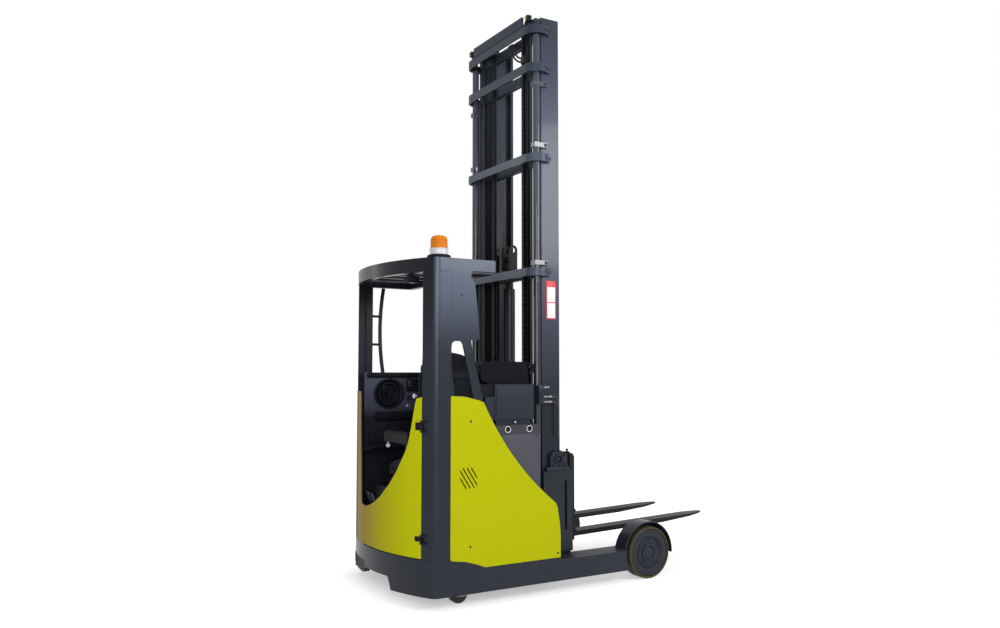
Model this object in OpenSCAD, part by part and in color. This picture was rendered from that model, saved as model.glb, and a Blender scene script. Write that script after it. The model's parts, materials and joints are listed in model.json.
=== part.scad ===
// Reach truck with a three-stage mast, drawn in millimetres.
// Forks point to +X, the left flank is +Y, the floor is z = 0.

/* [Overall] */
// width over the two flanks
body_width = 1250; // [1230:2:1270]
// height of the overhead guard
guard_height = 2150; // [2130:1:2170]
// top of the lowered mast
mast_top = 3930; // [3900:5:3960]
// gap between the floor and the chassis
ground_clearance = 78; // [72:1:84]
// how far the rounded tail stands out behind the corners
tail_bulge = 170; // [160:1:180]
// fork tips in front of the rear corner
fork_tip_x = 2490; // [2470:1:2510]
// radius of the rounded tail corners
corner_round = 60; // [50:1:70]

/* [Chassis] */
// wall of the chassis skirt
skirt_wall = 12; // [10:1:14]
// front wall of the chassis
chassis_front_x = 797; // [794:1:799]
// top of the chassis under the side panels
deck_z = 230; // [227:1:233]
// top of the chassis round the tail
tail_deck_z = 300; // [297:1:303]
// thickness of the deck plate
deck_plate = 12; // [10:1:14]
// height of the leg boxes
leg_top_z = 214; // [210:1:217]
// width of the box part of a leg
leg_box_width = 120; // [117:1:122]
// width of the roller channel inside a leg
leg_channel_width = 55; // [53:1:57]
// plate of the roller channel
leg_plate = 15; // [13:1:17]
// end of the roller channel
leg_end_x = 1800; // [1795:1:1806]
// top of the driver's floor
floor_z = 412; // [408:1:416]

/* [Wheels] */
// load wheel centre behind the leg ends
load_wheel_x = 1678; // [1675:1:1681]
// load wheel diameter
load_wheel_dia = 356; // [352:1:358]
// load wheel width
load_wheel_width = 110; // [106:1:112]
// drive wheel diameter
drive_wheel_dia = 343; // [339:1:346]
// drive wheel width
drive_wheel_width = 114; // [110:1:118]
// steering axis of the drive unit
drive_x = 190; // [186:1:194]
// sideways place of the drive unit
drive_y = -20; // [-24:1:-16]
// castor wheel diameter
castor_dia = 120; // [116:1:124]
// castor swivel axis
castor_x = 255; // [251:1:259]
// castor swivel axis in from the flank
castor_inset = 135; // [131:1:139]

/* [Cab] */
// depth of the pressed corner columns
column_depth = 42; // [38:1:46]
// front edge of the right column
column_front_x = 105; // [103:1:106]
// reach of the columns round the tail from the flank
column_wrap = 90; // [87:1:93]
// top of the painted panels
panel_top_z = 1293; // [1290:1:1296]
// height of the roof beam
roof_beam = 88; // [84:1:92]
// width of the roof beam
roof_beam_width = 48; // [44:1:52]
// front edge of the roof
roof_front_x = 423; // [420:1:426]
// thickness of the guard plate
guard_plate = 15; // [13:1:17]
// sheet of the painted panels
panel_sheet = 6; // [5:0.5:7]
// number of roof bars
roof_bars = 5; // [3:1:6]

/* [Battery] */
// rear face of the battery
battery_rear_x = 450; // [447:1:453]
// front face of the battery
battery_front_x = 785; // [782:1:788]
// battery side in from the flank
battery_inset = 35; // [32:1:38]
// top of the battery
battery_top_z = 1100; // [1096:1:1104]

/* [Mast] */
// rear face of the outer rails
outer_rail_x = 900; // [898:1:902]
// depth of the outer rails
rail_depth = 146; // [144:1:148]
// gap between a leg and the outer rail
mast_leg_gap = 14; // [13:0.5:15]
// web of a rail
rail_web = 16; // [15:0.5:17]
// flange of a rail
rail_flange = 21; // [20:0.5:22]
// width of a rail
rail_width = 56; // [55:0.5:57]
// running gap between two rails
rail_gap = 8; // [7:0.5:9]
// forward step from one stage to the next
stage_step = 25; // [24:0.5:26]
// lift cylinder barrel radius
barrel_r = 25; // [24:0.5:26]
// lift cylinder rod radius
rod_r = 17; // [16:0.5:18]
// lift cylinder centre behind the outer rails
cylinder_back = 37; // [36:0.5:38]
// top of the free lift barrel
free_barrel_top = 2060; // [2050:5:2070]

/* [Forks] */
// width of a fork
fork_width = 110; // [104:1:116]
// sideways place of a fork
fork_y = 265; // [262:1:268]
// thickness of the fork blade and its shank
fork_thick = 34; // [32:1:36]
// underside of the fork heel at rest
fork_z = 284; // [280:1:288]
// rise of a fork blade from heel to tip
fork_rise = 38; // [34:1:42]
// top of the fork shanks
shank_top_z = 865; // [860:1:870]

/* [Hidden] */
$fn = 64;
ALL_GREY = [0.23, 0.25, 0.29];
PANEL_GREEN = [0.72, 0.75, 0.09];
DARK = [0.1, 0.1, 0.12];
STEEL = [0.75, 0.76, 0.78];
half_width = body_width / 2;
tail_r = (half_width * half_width + tail_bulge * tail_bulge) / (2 * tail_bulge);
tail_centre_x = tail_r - tail_bulge;
middle_x = (fork_tip_x - tail_bulge) / 2;
corner_centre_x = tail_centre_x
  - sqrt(pow(tail_r - corner_round, 2) - pow(half_width - corner_round, 2));
corner_centre_y = half_width - corner_round;
leg_web_y = half_width - leg_box_width;
leg_inner_y = leg_web_y - leg_channel_width;
column_inner_y = half_width - column_wrap;
outer_rail_y = leg_inner_y - mast_leg_gap;
cylinder_x = outer_rail_x - cylinder_back;
cylinder_y = outer_rail_y - 4;
castor_y = castor_inset - half_width;
load_r = load_wheel_dia / 2;
drive_r = drive_wheel_dia / 2;
castor_r = castor_dia / 2;
running_gap = 0.5;
seat_gap = 0.3;
clear_gap = 6;
eps = 1;
big = 5000;

// puts a drawn piece into the finished frame
module placed() {
  translate([-middle_x, 0, 0])
    children();
}

// mirrored copy for the left flank
module left_side() {
  mirror([0, 1, 0])
    children();
}

// both flanks
module both_sides() {
  children();
  left_side()
    children();
}

// a side view outline extruded across the truck from y0 to y1
module across(y0, y1) {
  translate([0, y1, 0])
    rotate([90, 0, 0])
      linear_extrude(y1 - y0)
        children();
}

// box from its low and high corners
module box(low, high) {
  translate(low)
    cube(high - low);
}

// upright cylinder
module post(x, y, r, z0, z1) {
  translate([x, y, z0])
    cylinder(r = r, h = z1 - z0);
}

// cylinder along y
module pin_y(x, z, r, y0, y1) {
  translate([x, y1, z])
    rotate([90, 0, 0])
      cylinder(r = r, h = y1 - y0);
}

// rounded plan of the body, set in from the outer skin
module plan(inset, front_x) {
  r = tail_r - inset;
  h = half_width - inset;
  tangent_y = corner_centre_y * r / (tail_r - corner_round);
  intersection() {
    translate([tail_centre_x, 0])
      circle(r, $fn = 256);
    translate([-tail_bulge - eps, -tangent_y])
      square([corner_centre_x + tail_bulge + 2 * eps, 2 * tangent_y]);
  }
  translate([corner_centre_x, -h])
    square([front_x - corner_centre_x, 2 * h]);
  for (s = [-1, 1])
    translate([corner_centre_x, s * corner_centre_y])
      circle(corner_round - inset);
}

// closed ring of the plan
module plan_ring(outset, inset, front_x) {
  difference() {
    plan(outset, front_x);
    plan(inset, front_x - inset);
  }
}

// plan ring limited to one corner
module corner_ring(inset, front_x, inner_y) {
  intersection() {
    plan_ring(0, inset, big);
    translate([-tail_bulge - eps, -half_width - eps])
      square([front_x + tail_bulge + eps, half_width + eps - inner_y]);
  }
}

// x of the tail skin at a sideways place
function tail_x(y) = tail_centre_x - sqrt(tail_r * tail_r - y * y);

// chassis skirt, deck and battery floor
seam = [[111, tail_deck_z - 8], [214, 277], [296, 251], [349, deck_z]];
notch_y0 = -278;
notch_y1 = 70;
notch_top_z = 158;
foot_top_z = 200;
foot_y1 = column_inner_y - 55;
drive_swing = sqrt(drive_r * drive_r + pow(drive_wheel_width / 2, 2)) + 12;
module tail_window(x1) {
  rotate([90, 0, 90])
    translate([0, 0, -tail_bulge - eps])
      linear_extrude(tail_bulge + x1)
        children();
}
module chassis_frame() {
  color(ALL_GREY)
    placed()
      difference() {
        union() {
          translate([0, 0, ground_clearance])
            linear_extrude(tail_deck_z - ground_clearance)
              plan_ring(0, skirt_wall, chassis_front_x);
          translate([0, 0, deck_z - deck_plate])
            linear_extrude(deck_plate)
              plan(skirt_wall / 2, chassis_front_x - skirt_wall / 2);
        }
        across(-half_width - eps, half_width + eps)
          polygon(concat(
            [[111, tail_deck_z + eps]], seam,
            [[chassis_front_x + eps, deck_z], [chassis_front_x + eps, tail_deck_z + eps]]
          ));
        tail_window(-30)
          polygon([
            [notch_y0, 0], [notch_y0, ground_clearance + 8], [notch_y0 + 29, notch_top_z - 4],
            [notch_y0 + 40, notch_top_z], [notch_y1, notch_top_z], [notch_y1, foot_top_z],
            [foot_y1, foot_top_z], [foot_y1, 0]
          ]);
        post(drive_x, drive_y, drive_swing, deck_z - deck_plate - eps, deck_z + eps);
      }
}

// load leg with its roller channel, wheel guard and axle
axle_r = 15;
leg_rear_x = chassis_front_x + seat_gap;
panel_end_x = 919;
wheel_arch_r = load_r + 27;
guard_sheet = 8;
guard_low_z = 160;
guard_out_y = half_width - 13;
channel_low_z = ground_clearance + leg_plate;
channel_high_z = leg_top_z - leg_plate;
module guard_profile(inner_r) {
  intersection() {
    translate([load_wheel_x, load_r])
      difference() {
        circle(wheel_arch_r + guard_sheet, $fn = 128);
        circle(inner_r, $fn = 128);
      }
    polygon([
      [load_wheel_x - big, leg_top_z], [leg_end_x, leg_top_z], [leg_end_x, guard_low_z],
      [load_wheel_x + big, guard_low_z], [load_wheel_x + big, big], [load_wheel_x - big, big]
    ]);
  }
}
module leg() {
  color(ALL_GREY)
    placed() {
      difference() {
        union() {
          across(-half_width, -leg_web_y)
            polygon([
              [leg_rear_x, ground_clearance], [load_wheel_x, ground_clearance],
              [load_wheel_x, leg_top_z], [panel_end_x + 11, leg_top_z],
              [panel_end_x - 1, deck_z], [leg_rear_x, deck_z]
            ]);
          across(-leg_web_y, -leg_inner_y)
            polygon([
              [leg_rear_x, ground_clearance], [leg_end_x, ground_clearance],
              [leg_end_x, leg_top_z], [leg_rear_x, leg_top_z]
            ]);
        }
        pin_y(load_wheel_x, load_r, wheel_arch_r, -half_width - eps, -leg_web_y);
        box([leg_rear_x - eps, -leg_web_y + leg_plate, channel_low_z],
          [leg_end_x - leg_plate, -leg_inner_y + eps, channel_high_z]);
      }
      across(-guard_out_y, -leg_web_y)
        guard_profile(wheel_arch_r);
      across(-leg_web_y, -leg_web_y + guard_sheet)
        guard_profile(0);
      pin_y(load_wheel_x, load_r, axle_r, -half_width + 12, -leg_web_y + eps);
    }
}
module leg_right() {
  leg();
}
module leg_left() {
  left_side()
    leg();
}

// load wheel hub with a stepped dish
load_tyre_r = load_r - 16;
wheel_out_y = half_width;
module load_hub() {
  w = load_wheel_width;
  translate([load_wheel_x, -wheel_out_y, load_r])
    rotate([-90, 0, 0])
      rotate_extrude($fn = 96)
        polygon([
          [axle_r + running_gap, 14], [42, 14], [46, 4], [62, 4], [66, 16],
          [104, 20], [112, 8], [load_tyre_r - 8, 8], [load_tyre_r, 12],
          [load_tyre_r, w - 4], [60, w - 4], [60, w], [axle_r + running_gap, w]
        ]);
}
module load_tyre() {
  w = load_wheel_width;
  translate([load_wheel_x, -wheel_out_y, load_r])
    rotate([-90, 0, 0])
      rotate_extrude($fn = 96)
        polygon([
          [load_tyre_r, 12], [load_tyre_r + 2, 4], [load_r - 8, 2], [load_r, 10],
          [load_r, w - 10], [load_r - 8, w - 2], [load_tyre_r, w - 4]
        ]);
}
module load_hub_right() {
  color(ALL_GREY)
    placed()
      load_hub();
}
module load_tyre_right() {
  color(DARK)
    placed()
      load_tyre();
}
module load_hub_left() {
  color(ALL_GREY)
    placed()
      left_side()
        load_hub();
}
module load_tyre_left() {
  color(DARK)
    placed()
      left_side()
        load_tyre();
}

// pressed columns of the tail
roof_under_z = guard_height - roof_beam;
module corner_column() {
  color(ALL_GREY)
    placed()
      translate([0, 0, tail_deck_z])
        linear_extrude(roof_under_z - tail_deck_z)
          corner_ring(column_depth, column_front_x, column_inner_y);
}

// rear left column with its ladder grab rail
left_column_front_x = 82;
grab_r = 14;
grab_mid_x = 146;
grab_low_z = panel_top_z + 137;
grab_end_gap = 4;
grab_half = (roof_under_z - grab_low_z) / 2 - grab_end_gap;
grab_mid_z = (roof_under_z + grab_low_z) / 2;
grab_sag = 26;
grab_arc_r = (grab_half * grab_half + grab_sag * grab_sag) / (2 * grab_sag);
grab_sweep = asin(grab_half / grab_arc_r);
grab_y = half_width - 25;
grab_stays = [grab_mid_z - grab_half / 3, grab_mid_z + grab_half / 3];
module left_pillar() {
  color(ALL_GREY)
    placed() {
      left_side()
        translate([0, 0, tail_deck_z])
          linear_extrude(roof_under_z - tail_deck_z)
            corner_ring(column_depth, left_column_front_x, column_inner_y);
      translate([grab_mid_x + grab_arc_r, grab_y, grab_mid_z])
        rotate([90, 0, 0])
          rotate([0, 0, 180 - grab_sweep])
            rotate_extrude(angle = 2 * grab_sweep, $fn = 512)
              translate([grab_arc_r, 0])
                circle(grab_r, $fn = 32);
      for (z = grab_stays)
        translate([left_column_front_x - eps, grab_y, z])
          rotate([0, 90, 0])
            cylinder(r = 9, h = grab_mid_x - left_column_front_x);
    }
}

// guard plate over the right flank
plate_scale = (guard_height - panel_top_z) / 857;
function gz(z) = panel_top_z + (z - 1293) * plate_scale;
plate_outline = [
  [column_front_x, guard_height], [roof_front_x, guard_height],
  [roof_front_x, gz(2075)], [262, gz(2075)], [247, gz(2058)], [247, gz(2034)],
  [274, gz(1995)], [293, gz(1835)], [307, gz(1655)], [296, gz(1640)], [247, gz(1638)],
  [261, gz(1529)], [297, gz(1410)], [334, gz(1256)], [266, gz(1274)], [238, gz(1395)],
  [206, gz(1545)], [190, gz(1612)], [176, gz(1632)], [130, gz(1632)], [112, gz(1618)],
  [108, gz(1590)], [112, gz(1435)], [131, gz(1301)], [131, gz(1293)],
  [column_front_x, gz(1293)]
];
plate_holes = [gz(1712), gz(1920)];
module guard_side_plate() {
  color(ALL_GREY)
    placed()
      difference() {
        across(-half_width, -half_width + guard_plate)
          polygon(plate_outline);
        for (z = plate_holes)
          pin_y(178, z, 6, -half_width - eps, -half_width + guard_plate + eps);
      }
}

// overhead guard
module roof_frame() {
  inner_half = half_width - roof_beam_width;
  step = 2 * inner_half / (roof_bars + 1);
  color(ALL_GREY)
    placed()
      difference() {
        translate([0, 0, roof_under_z])
          union() {
            linear_extrude(roof_beam)
              plan_ring(0, roof_beam_width, roof_front_x);
            intersection() {
              linear_extrude(roof_beam)
                plan(roof_beam_width / 2, roof_front_x - roof_beam_width / 2);
              for (i = [1:roof_bars])
                translate([-tail_bulge, i * step - inner_half - 15, roof_beam / 3])
                  cube([big, 30, roof_beam / 2]);
            }
          }
        box([column_front_x, -half_width - eps, 0],
          [roof_front_x + eps, -half_width + guard_plate, big]);
      }
}

// side panel with its long hollow sweep
sweep_top = [338, panel_top_z - 43];
sweep_low = [882, 585];
sweep_sag = 50;
sweep_dir = (sweep_low - sweep_top) / norm(sweep_low - sweep_top);
sweep_half = norm(sweep_low - sweep_top) / 2;
sweep_r = (sweep_half * sweep_half + sweep_sag * sweep_sag) / (2 * sweep_sag);
sweep_centre = (sweep_top + sweep_low) / 2
  + (sweep_r - sweep_sag) * [-sweep_dir[1], sweep_dir[0]];
module panel_outline(rear_x) {
  difference() {
    polygon(concat(
      [[rear_x, panel_top_z - 1], [201, panel_top_z - 6], [300, panel_top_z - 29]],
      [sweep_top, sweep_low, [panel_end_x - 22, 551], [panel_end_x - 7, 460]],
      [[panel_end_x, 378], [panel_end_x, deck_z], [349, deck_z], [296, 251]],
      [[214, 277], [111, tail_deck_z - 8], [111, tail_deck_z], [rear_x, tail_deck_z]]
    ));
    translate(sweep_centre)
      circle(sweep_r, $fn = 512);
  }
}
louvre_count = 5;
louvre_mid = [231, 785];
louvre_pitch = 29.3;
louvre_field = [121, 127];
louvre_width = 8;
louvre_turn = 33;
module louvres() {
  intersection() {
    translate(louvre_mid)
      square(louvre_field, center = true);
    for (i = [0:louvre_count - 1])
      translate(louvre_mid + [(i - (louvre_count - 1) / 2) * louvre_pitch, 0])
        rotate(louvre_turn)
          square([louvre_width, 2 * louvre_field[1]], center = true);
  }
}
module side_panel_right() {
  color(PANEL_GREEN)
    placed()
      difference() {
        across(-half_width, -half_width + panel_sheet)
          difference() {
            panel_outline(column_front_x + seat_gap);
            louvres();
          }
        for (p = [[246, 1133], [243, 364], [897, 260]])
          pin_y(p[0], p[1], 5, -half_width - eps, -half_width + panel_sheet + eps);
      }
}
module side_panel_left() {
  color(PANEL_GREEN)
    placed()
      across(half_width - panel_sheet, half_width)
        panel_outline(left_column_front_x + seat_gap);
}

// painted strip round the low edge of the entry
door_end_y = 100;
strip_top_z = panel_top_z + 15;
function cut_y(y) = y * column_inner_y / 535;
module tail_skin(y0, y1) {
  intersection() {
    plan_ring(0, panel_sheet, big);
    translate([-tail_bulge - eps, y0])
      square([tail_bulge + 90, y1 - y0]);
  }
}
module tail_strip() {
  color(PANEL_GREEN)
    placed()
      intersection() {
        translate([0, 0, tail_deck_z])
          linear_extrude(strip_top_z - tail_deck_z)
            tail_skin(door_end_y + clear_gap, column_inner_y);
        tail_window(90)
          polygon([
            [door_end_y, tail_deck_z], [column_inner_y, tail_deck_z],
            [column_inner_y, strip_top_z], [cut_y(226), strip_top_z], [cut_y(217), 1106],
            [cut_y(200), 900], [cut_y(183), 696], [cut_y(180), 600], [cut_y(172), 570],
            [cut_y(160), 557], [door_end_y, 555]
          ]);
      }
}

// hinged rear panel with its big rounded cut
hinge_round = 9;
hinge_angle = asin((column_inner_y + 5) / tail_r);
hinge_x = tail_centre_x - (tail_r + hinge_round) * cos(hinge_angle);
hinge_y = -(tail_r + hinge_round) * sin(hinge_angle);
door_start_y = -column_inner_y + clear_gap;
door_cut = [
  [-535, 1287], [-529, 1286], [-492, 1276], [-484, 1251], [-473, 1200], [-458, 1124],
  [-438, 1035], [-413, 959], [-374, 893], [-324, 813], [-253, 730], [-160, 650],
  [-78, 601], [-10, 573], [58, 556]
];
module rear_panel() {
  color(PANEL_GREEN)
    placed()
      intersection() {
        translate([0, 0, tail_deck_z + clear_gap])
          linear_extrude(panel_top_z - tail_deck_z)
            tail_skin(door_start_y, door_end_y);
        tail_window(90)
          polygon(concat(
            [[-column_inner_y, tail_deck_z]],
            [for (p = door_cut) [cut_y(p[0]), p[1]]],
            [[door_end_y, 552], [door_end_y, tail_deck_z]]
          ));
      }
}
hinge_rows = [[396, 454], [1070, 1145]];
hinge_pin_r = 4;
module door_hinges() {
  color(DARK)
    placed()
      for (h = hinge_rows)
        difference() {
          union() {
            post(hinge_x, hinge_y, hinge_round - seat_gap, h[0] + 14, h[1] - 14);
            translate([0, 0, h[0] + 14])
              linear_extrude(h[1] - h[0] - 28)
                intersection() {
                  translate([tail_centre_x, 0])
                    difference() {
                      circle(tail_r + 5, $fn = 256);
                      circle(tail_r, $fn = 256);
                    }
                  translate([-tail_bulge, hinge_y + 7])
                    square([tail_bulge, 45]);
                }
          }
          post(hinge_x, hinge_y, hinge_pin_r + running_gap, 0, big);
        }
}
module hinge_brackets() {
  color(DARK)
    placed()
      for (h = hinge_rows) {
        post(hinge_x, hinge_y, hinge_pin_r, h[0], h[1]);
        for (z = [h[0], h[1] - 13])
          difference() {
            union() {
              post(hinge_x, hinge_y, hinge_round, z, z + 13);
              translate([hinge_x, hinge_y, z])
                rotate([0, 0, -hinge_angle])
                  translate([0, -22, 0])
                    cube([hinge_round + 14, 22, 13]);
            }
            translate([0, 0, z - eps])
              linear_extrude(15 + eps)
                plan(0, big);
          }
      }
}

// driver's floor over the drive unit
motor_r = 98;
motor_top_z = 650;
gear_top_z = 360;
gear_flange = 22;
well_r = motor_r + 5;
module floor_pan() {
  color(DARK)
    placed()
      difference() {
        union() {
          translate([0, 0, floor_z - 10])
            linear_extrude(10)
              plan(column_depth + 4, battery_rear_x - 10);
          translate([0, 0, deck_z])
            linear_extrude(floor_z - deck_z - 5)
              intersection() {
                plan_ring(column_depth + 4, column_depth + 16, battery_rear_x - 10);
                square([big, big], center = true);
              }
          post(drive_x, drive_y, well_r + 36, gear_top_z + gear_flange + seat_gap, floor_z - 5);
        }
        post(drive_x, drive_y, well_r, 0, big);
      }
}

// seat pedestal, hollow over the motor
seat_x0 = -80;
seat_x1 = 400;
seat_front_y = 118;
seat_out_y = half_width - 50;
seat_box_z = 690;
seat_sheet = 8;
pedestal_z = 742;
cushion_z = 850;
back_y0 = 175 - half_width;
back_y1 = 285 - half_width;
back_z = 1445;
headrest_z = 1566;
arm_z = [985, 1055];
arm_x = [-84, -34];
arm_y = [back_y1 - 60, -30];
arm_post_y = back_y1 - 10;
module seat_base() {
  color(DARK)
    placed() {
      difference() {
        intersection() {
          box([seat_x0, -seat_out_y, floor_z], [seat_x1, seat_front_y, seat_box_z]);
          linear_extrude(guard_height)
            plan(column_depth + 14, big);
        }
        intersection() {
          box([seat_x0 + seat_sheet, seat_sheet - seat_out_y, floor_z - eps],
            [seat_x1 - seat_sheet, seat_front_y - seat_sheet, seat_box_z - seat_sheet]);
          linear_extrude(guard_height)
            plan(column_depth + 14 + seat_sheet, big);
        }
      }
      box([seat_x0 + 60, back_y0 + 15, seat_box_z], [seat_x1 - 60, seat_front_y - 80, pedestal_z]);
      box([arm_x[0] + 12, arm_post_y - 40, seat_box_z], [arm_x[0] + 34, arm_post_y + 10, arm_z[0]]);
      across(arm_y[0], arm_y[1])
        polygon([
          [arm_x[0], arm_z[0]], [arm_x[1], arm_z[0]], [arm_x[1], arm_z[1] - 12],
          [arm_x[1] - 12, arm_z[1]], [arm_x[0] + 12, arm_z[1]], [arm_x[0], arm_z[1] - 12]
        ]);
    }
}
cushion_x = [-30, 380];
cushion_y = [back_y1 + seat_gap, 100];
module seat_cushion() {
  color(DARK)
    placed()
      translate([0, 0, pedestal_z + seat_gap])
        linear_extrude(cushion_z - pedestal_z)
          polygon([
            [cushion_x[0], cushion_y[0]], [cushion_x[1], cushion_y[0]],
            [cushion_x[1], cushion_y[1] - 60], [cushion_x[1] - 60, cushion_y[1]],
            [cushion_x[0] + 60, cushion_y[1]], [cushion_x[0], cushion_y[1] - 60]
          ]);
}
back_x = [-28, 385];
headrest_posts = [110, 250];
headrest_gap = 8;
module seat_back() {
  head_low_z = back_z + headrest_gap;
  color(DARK)
    placed() {
      across(back_y0, back_y1)
        polygon([
          [back_x[0], pedestal_z + seat_gap], [back_x[1], pedestal_z + seat_gap],
          [back_x[1], back_z - 60], [back_x[1] - 25, back_z],
          [back_x[0] + 25, back_z], [back_x[0], back_z - 50]
        ]);
      across(back_y0 + 8, back_y1 - 12)
        polygon([
          [6, head_low_z], [back_x[1] - 28, head_low_z], [335, headrest_z - 34],
          [302, headrest_z], [60, headrest_z], [34, headrest_z - 18]
        ]);
      for (x = headrest_posts)
        post(x, (back_y0 + back_y1) / 2, 7, back_z - eps, head_low_z + eps);
    }
}

// moulded console on the left flank
dash_y = half_width - 215;
dash_low_z = 900;
dash_high_z = 1436;
dash_front_x = 430;
dash_liner_y = half_width - 66;
dial = [140, 1284];
dial_r = 96;
dial_depth = 30;
wheel_ring_r = 76;
wheel_grip_r = 9;
wheel_boss_r = 22;
wheel_spoke = 6;
module dashboard() {
  color(DARK)
    placed()
      difference() {
        intersection() {
          union() {
            across(dash_y, half_width)
              polygon([
                [-tail_bulge, dash_low_z - 60], [40, dash_low_z],
                [dash_front_x, dash_low_z], [dash_front_x, dash_high_z],
                [-60, dash_high_z], [-90, dash_high_z - 56], [-tail_bulge, dash_low_z + 260]
              ]);
            across(dash_liner_y, half_width)
              polygon([
                [-tail_bulge, floor_z], [dash_front_x, floor_z],
                [dash_front_x, dash_low_z + eps], [-tail_bulge, dash_low_z + eps]
              ]);
          }
          linear_extrude(guard_height)
            plan(column_depth + 6, big);
        }
        pin_y(dial[0], dial[1], dial_r, dash_y - eps, dash_y + dial_depth);
      }
}
module steering_wheel() {
  color(DARK)
    placed() {
      translate([dial[0], dash_y, dial[1]])
        rotate([90, 0, 0])
          rotate_extrude($fn = 64)
            translate([wheel_ring_r, 0])
              circle(wheel_grip_r, $fn = 24);
      pin_y(dial[0], dial[1], wheel_boss_r, dash_y - 20, dash_y + dial_depth);
      for (a = [90, 210, 330])
        translate([dial[0], dash_y, dial[1]])
          rotate([0, a, 0])
            translate([0, -wheel_spoke, -wheel_spoke])
              cube([wheel_ring_r, 2 * wheel_spoke, 2 * wheel_spoke]);
    }
}

// two ribbed pedals on the floor
pedal_x = -12;
pedal_rows = [dash_y - 105, dash_y - 45];
pedal_size = [52, 44, 10];
pedal_stem_r = 7;
pedal_z = floor_z + 110;
module pedals() {
  color(STEEL)
    placed()
      for (y = pedal_rows) {
        post(pedal_x, y, pedal_stem_r, floor_z + seat_gap, pedal_z);
        translate([pedal_x, y, pedal_z])
          rotate([0, 35, 0])
            cube(pedal_size, center = true);
      }
}

// lever console on the battery side
lever_rows = [60, 130, 200];
lever_x = 419;
lever_r = 6;
knob_r = 12;
console_z = 1080;
lever_z = console_z + 80;
module lever_console() {
  color(DARK)
    placed() {
      box([seat_x1 + seat_gap, dash_y - 710, seat_box_z - 90],
        [dash_front_x + 6, dash_y - 30, console_z]);
      for (y = lever_rows)
        post(lever_x, y, lever_r, console_z, lever_z);
      for (y = lever_rows)
        translate([lever_x, y, lever_z])
          sphere(knob_r, $fn = 32);
    }
}

// battery with its lifting eyes
eye_x = [536, 700];
eye_drop = 24;
eye_r = 22;
eye_depth = 20;
module battery_case() {
  w = half_width - battery_inset;
  color(ALL_GREY)
    placed()
      difference() {
        box([battery_rear_x, -w, deck_z], [battery_front_x, w, battery_top_z]);
        for (x = eye_x)
          for (s = [-w, w - eye_depth])
            pin_y(x, battery_top_z - eye_drop, eye_r, s - eps, s + eye_depth + eps);
      }
}
hood_z = 1362;
hood_low_z = battery_top_z + 32;
hood_x0 = 448;
hood_x1 = 745;
hood_y = half_width - 50;
hood_foot = 16;
hood_wing = [380, 1280, 110];
hood_hole_x = [520, 660];
hood_hole_z = 1262;
hood_hole_r = 6;
module battery_hood() {
  color(DARK)
    placed() {
      difference() {
        box([hood_x0, -hood_y, hood_low_z], [hood_x1, hood_y, hood_z]);
        for (x = hood_hole_x)
          pin_y(x, hood_hole_z, hood_hole_r, -hood_y - eps, 10 - hood_y);
      }
      box([hood_x0 + hood_foot, hood_foot - hood_y, battery_top_z],
        [hood_x1 - hood_foot, hood_y - hood_foot, hood_low_z + eps]);
      box([hood_wing[0], 6 - hood_y, hood_low_z],
        [hood_x0 + eps, hood_wing[2] - hood_y, hood_wing[1]]);
    }
}

// dark lid over the hood
lid_z = 1508;
lid_y = half_width - 125;
lid_foot_x = [hood_x0, hood_x1 + 9];
lid_outline = [
  [387, hood_z + 26], [387, hood_z + 118], [409, lid_z], [739, lid_z],
  [lid_foot_x[1], hood_z + seat_gap], [lid_foot_x[0], hood_z + seat_gap]
];
module hood_top() {
  color(DARK)
    placed()
      across(-lid_y, dash_y - clear_gap)
        polygon(lid_outline);
}

// beacon over the rear right corner
beacon_x = 56;
beacon_y = 75 - half_width;
module beacon_base() {
  color(DARK)
    placed() {
      post(beacon_x, beacon_y, 72, guard_height, guard_height + 12);
      post(beacon_x, beacon_y, 58, guard_height + 12, guard_height + 60);
    }
}
module beacon_lens() {
  color([0.95, 0.45, 0.05])
    placed()
      translate([beacon_x, beacon_y, guard_height + 60])
        rotate_extrude()
          polygon([[0, 0], [54, 0], [52, 60], [46, 76], [30, 83], [0, 84]]);
}

// rubber foot under the entry
foot_low_z = 115;
foot_depth = 46;
foot_round = 26;
module tail_foot() {
  color(DARK)
    placed()
      intersection() {
        linear_extrude(foot_top_z - seat_gap)
          intersection() {
            plan_ring(2, foot_depth, big);
            translate([-tail_bulge - 5, notch_y1])
              square([tail_bulge + 60, foot_y1 - notch_y1 - clear_gap]);
          }
        tail_window(90)
          polygon([
            [notch_y1, foot_top_z], [notch_y1, foot_low_z + 30],
            [notch_y1 + 8, foot_low_z + 34], [notch_y1 + 20, foot_low_z + 30],
            [notch_y1 + 24, foot_low_z + 16], [notch_y1 + 34, foot_low_z + 4],
            [notch_y1 + 50, foot_low_z], [foot_y1, foot_low_z], [foot_y1, foot_top_z]
          ]);
      }
}

// steered drive unit
module drive_gearbox() {
  w = drive_wheel_width / 2;
  color(ALL_GREY)
    placed()
      translate([drive_x, drive_y, 0]) {
        box([-62, w + clear_gap, 95], [62, w + 52, gear_top_z]);
        post(0, 0, 112, gear_top_z, gear_top_z + gear_flange);
        pin_y(0, drive_r, 18, -w + 8, w + clear_gap + eps);
      }
}
module drive_motor() {
  color(ALL_GREY)
    placed()
      post(drive_x, drive_y, motor_r, gear_top_z + gear_flange, motor_top_z);
}
drive_tyre_r = drive_r - 30;
module drive_hub() {
  w = drive_wheel_width / 2;
  color(ALL_GREY)
    placed()
      difference() {
        pin_y(drive_x, drive_r, drive_tyre_r, drive_y - w, drive_y + w);
        pin_y(drive_x, drive_r, 18 + running_gap, drive_y - w - eps, drive_y + w + eps);
        pin_y(drive_x, drive_r, drive_tyre_r - 22, drive_y - w - eps, drive_y - w + 18);
      }
}
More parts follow.
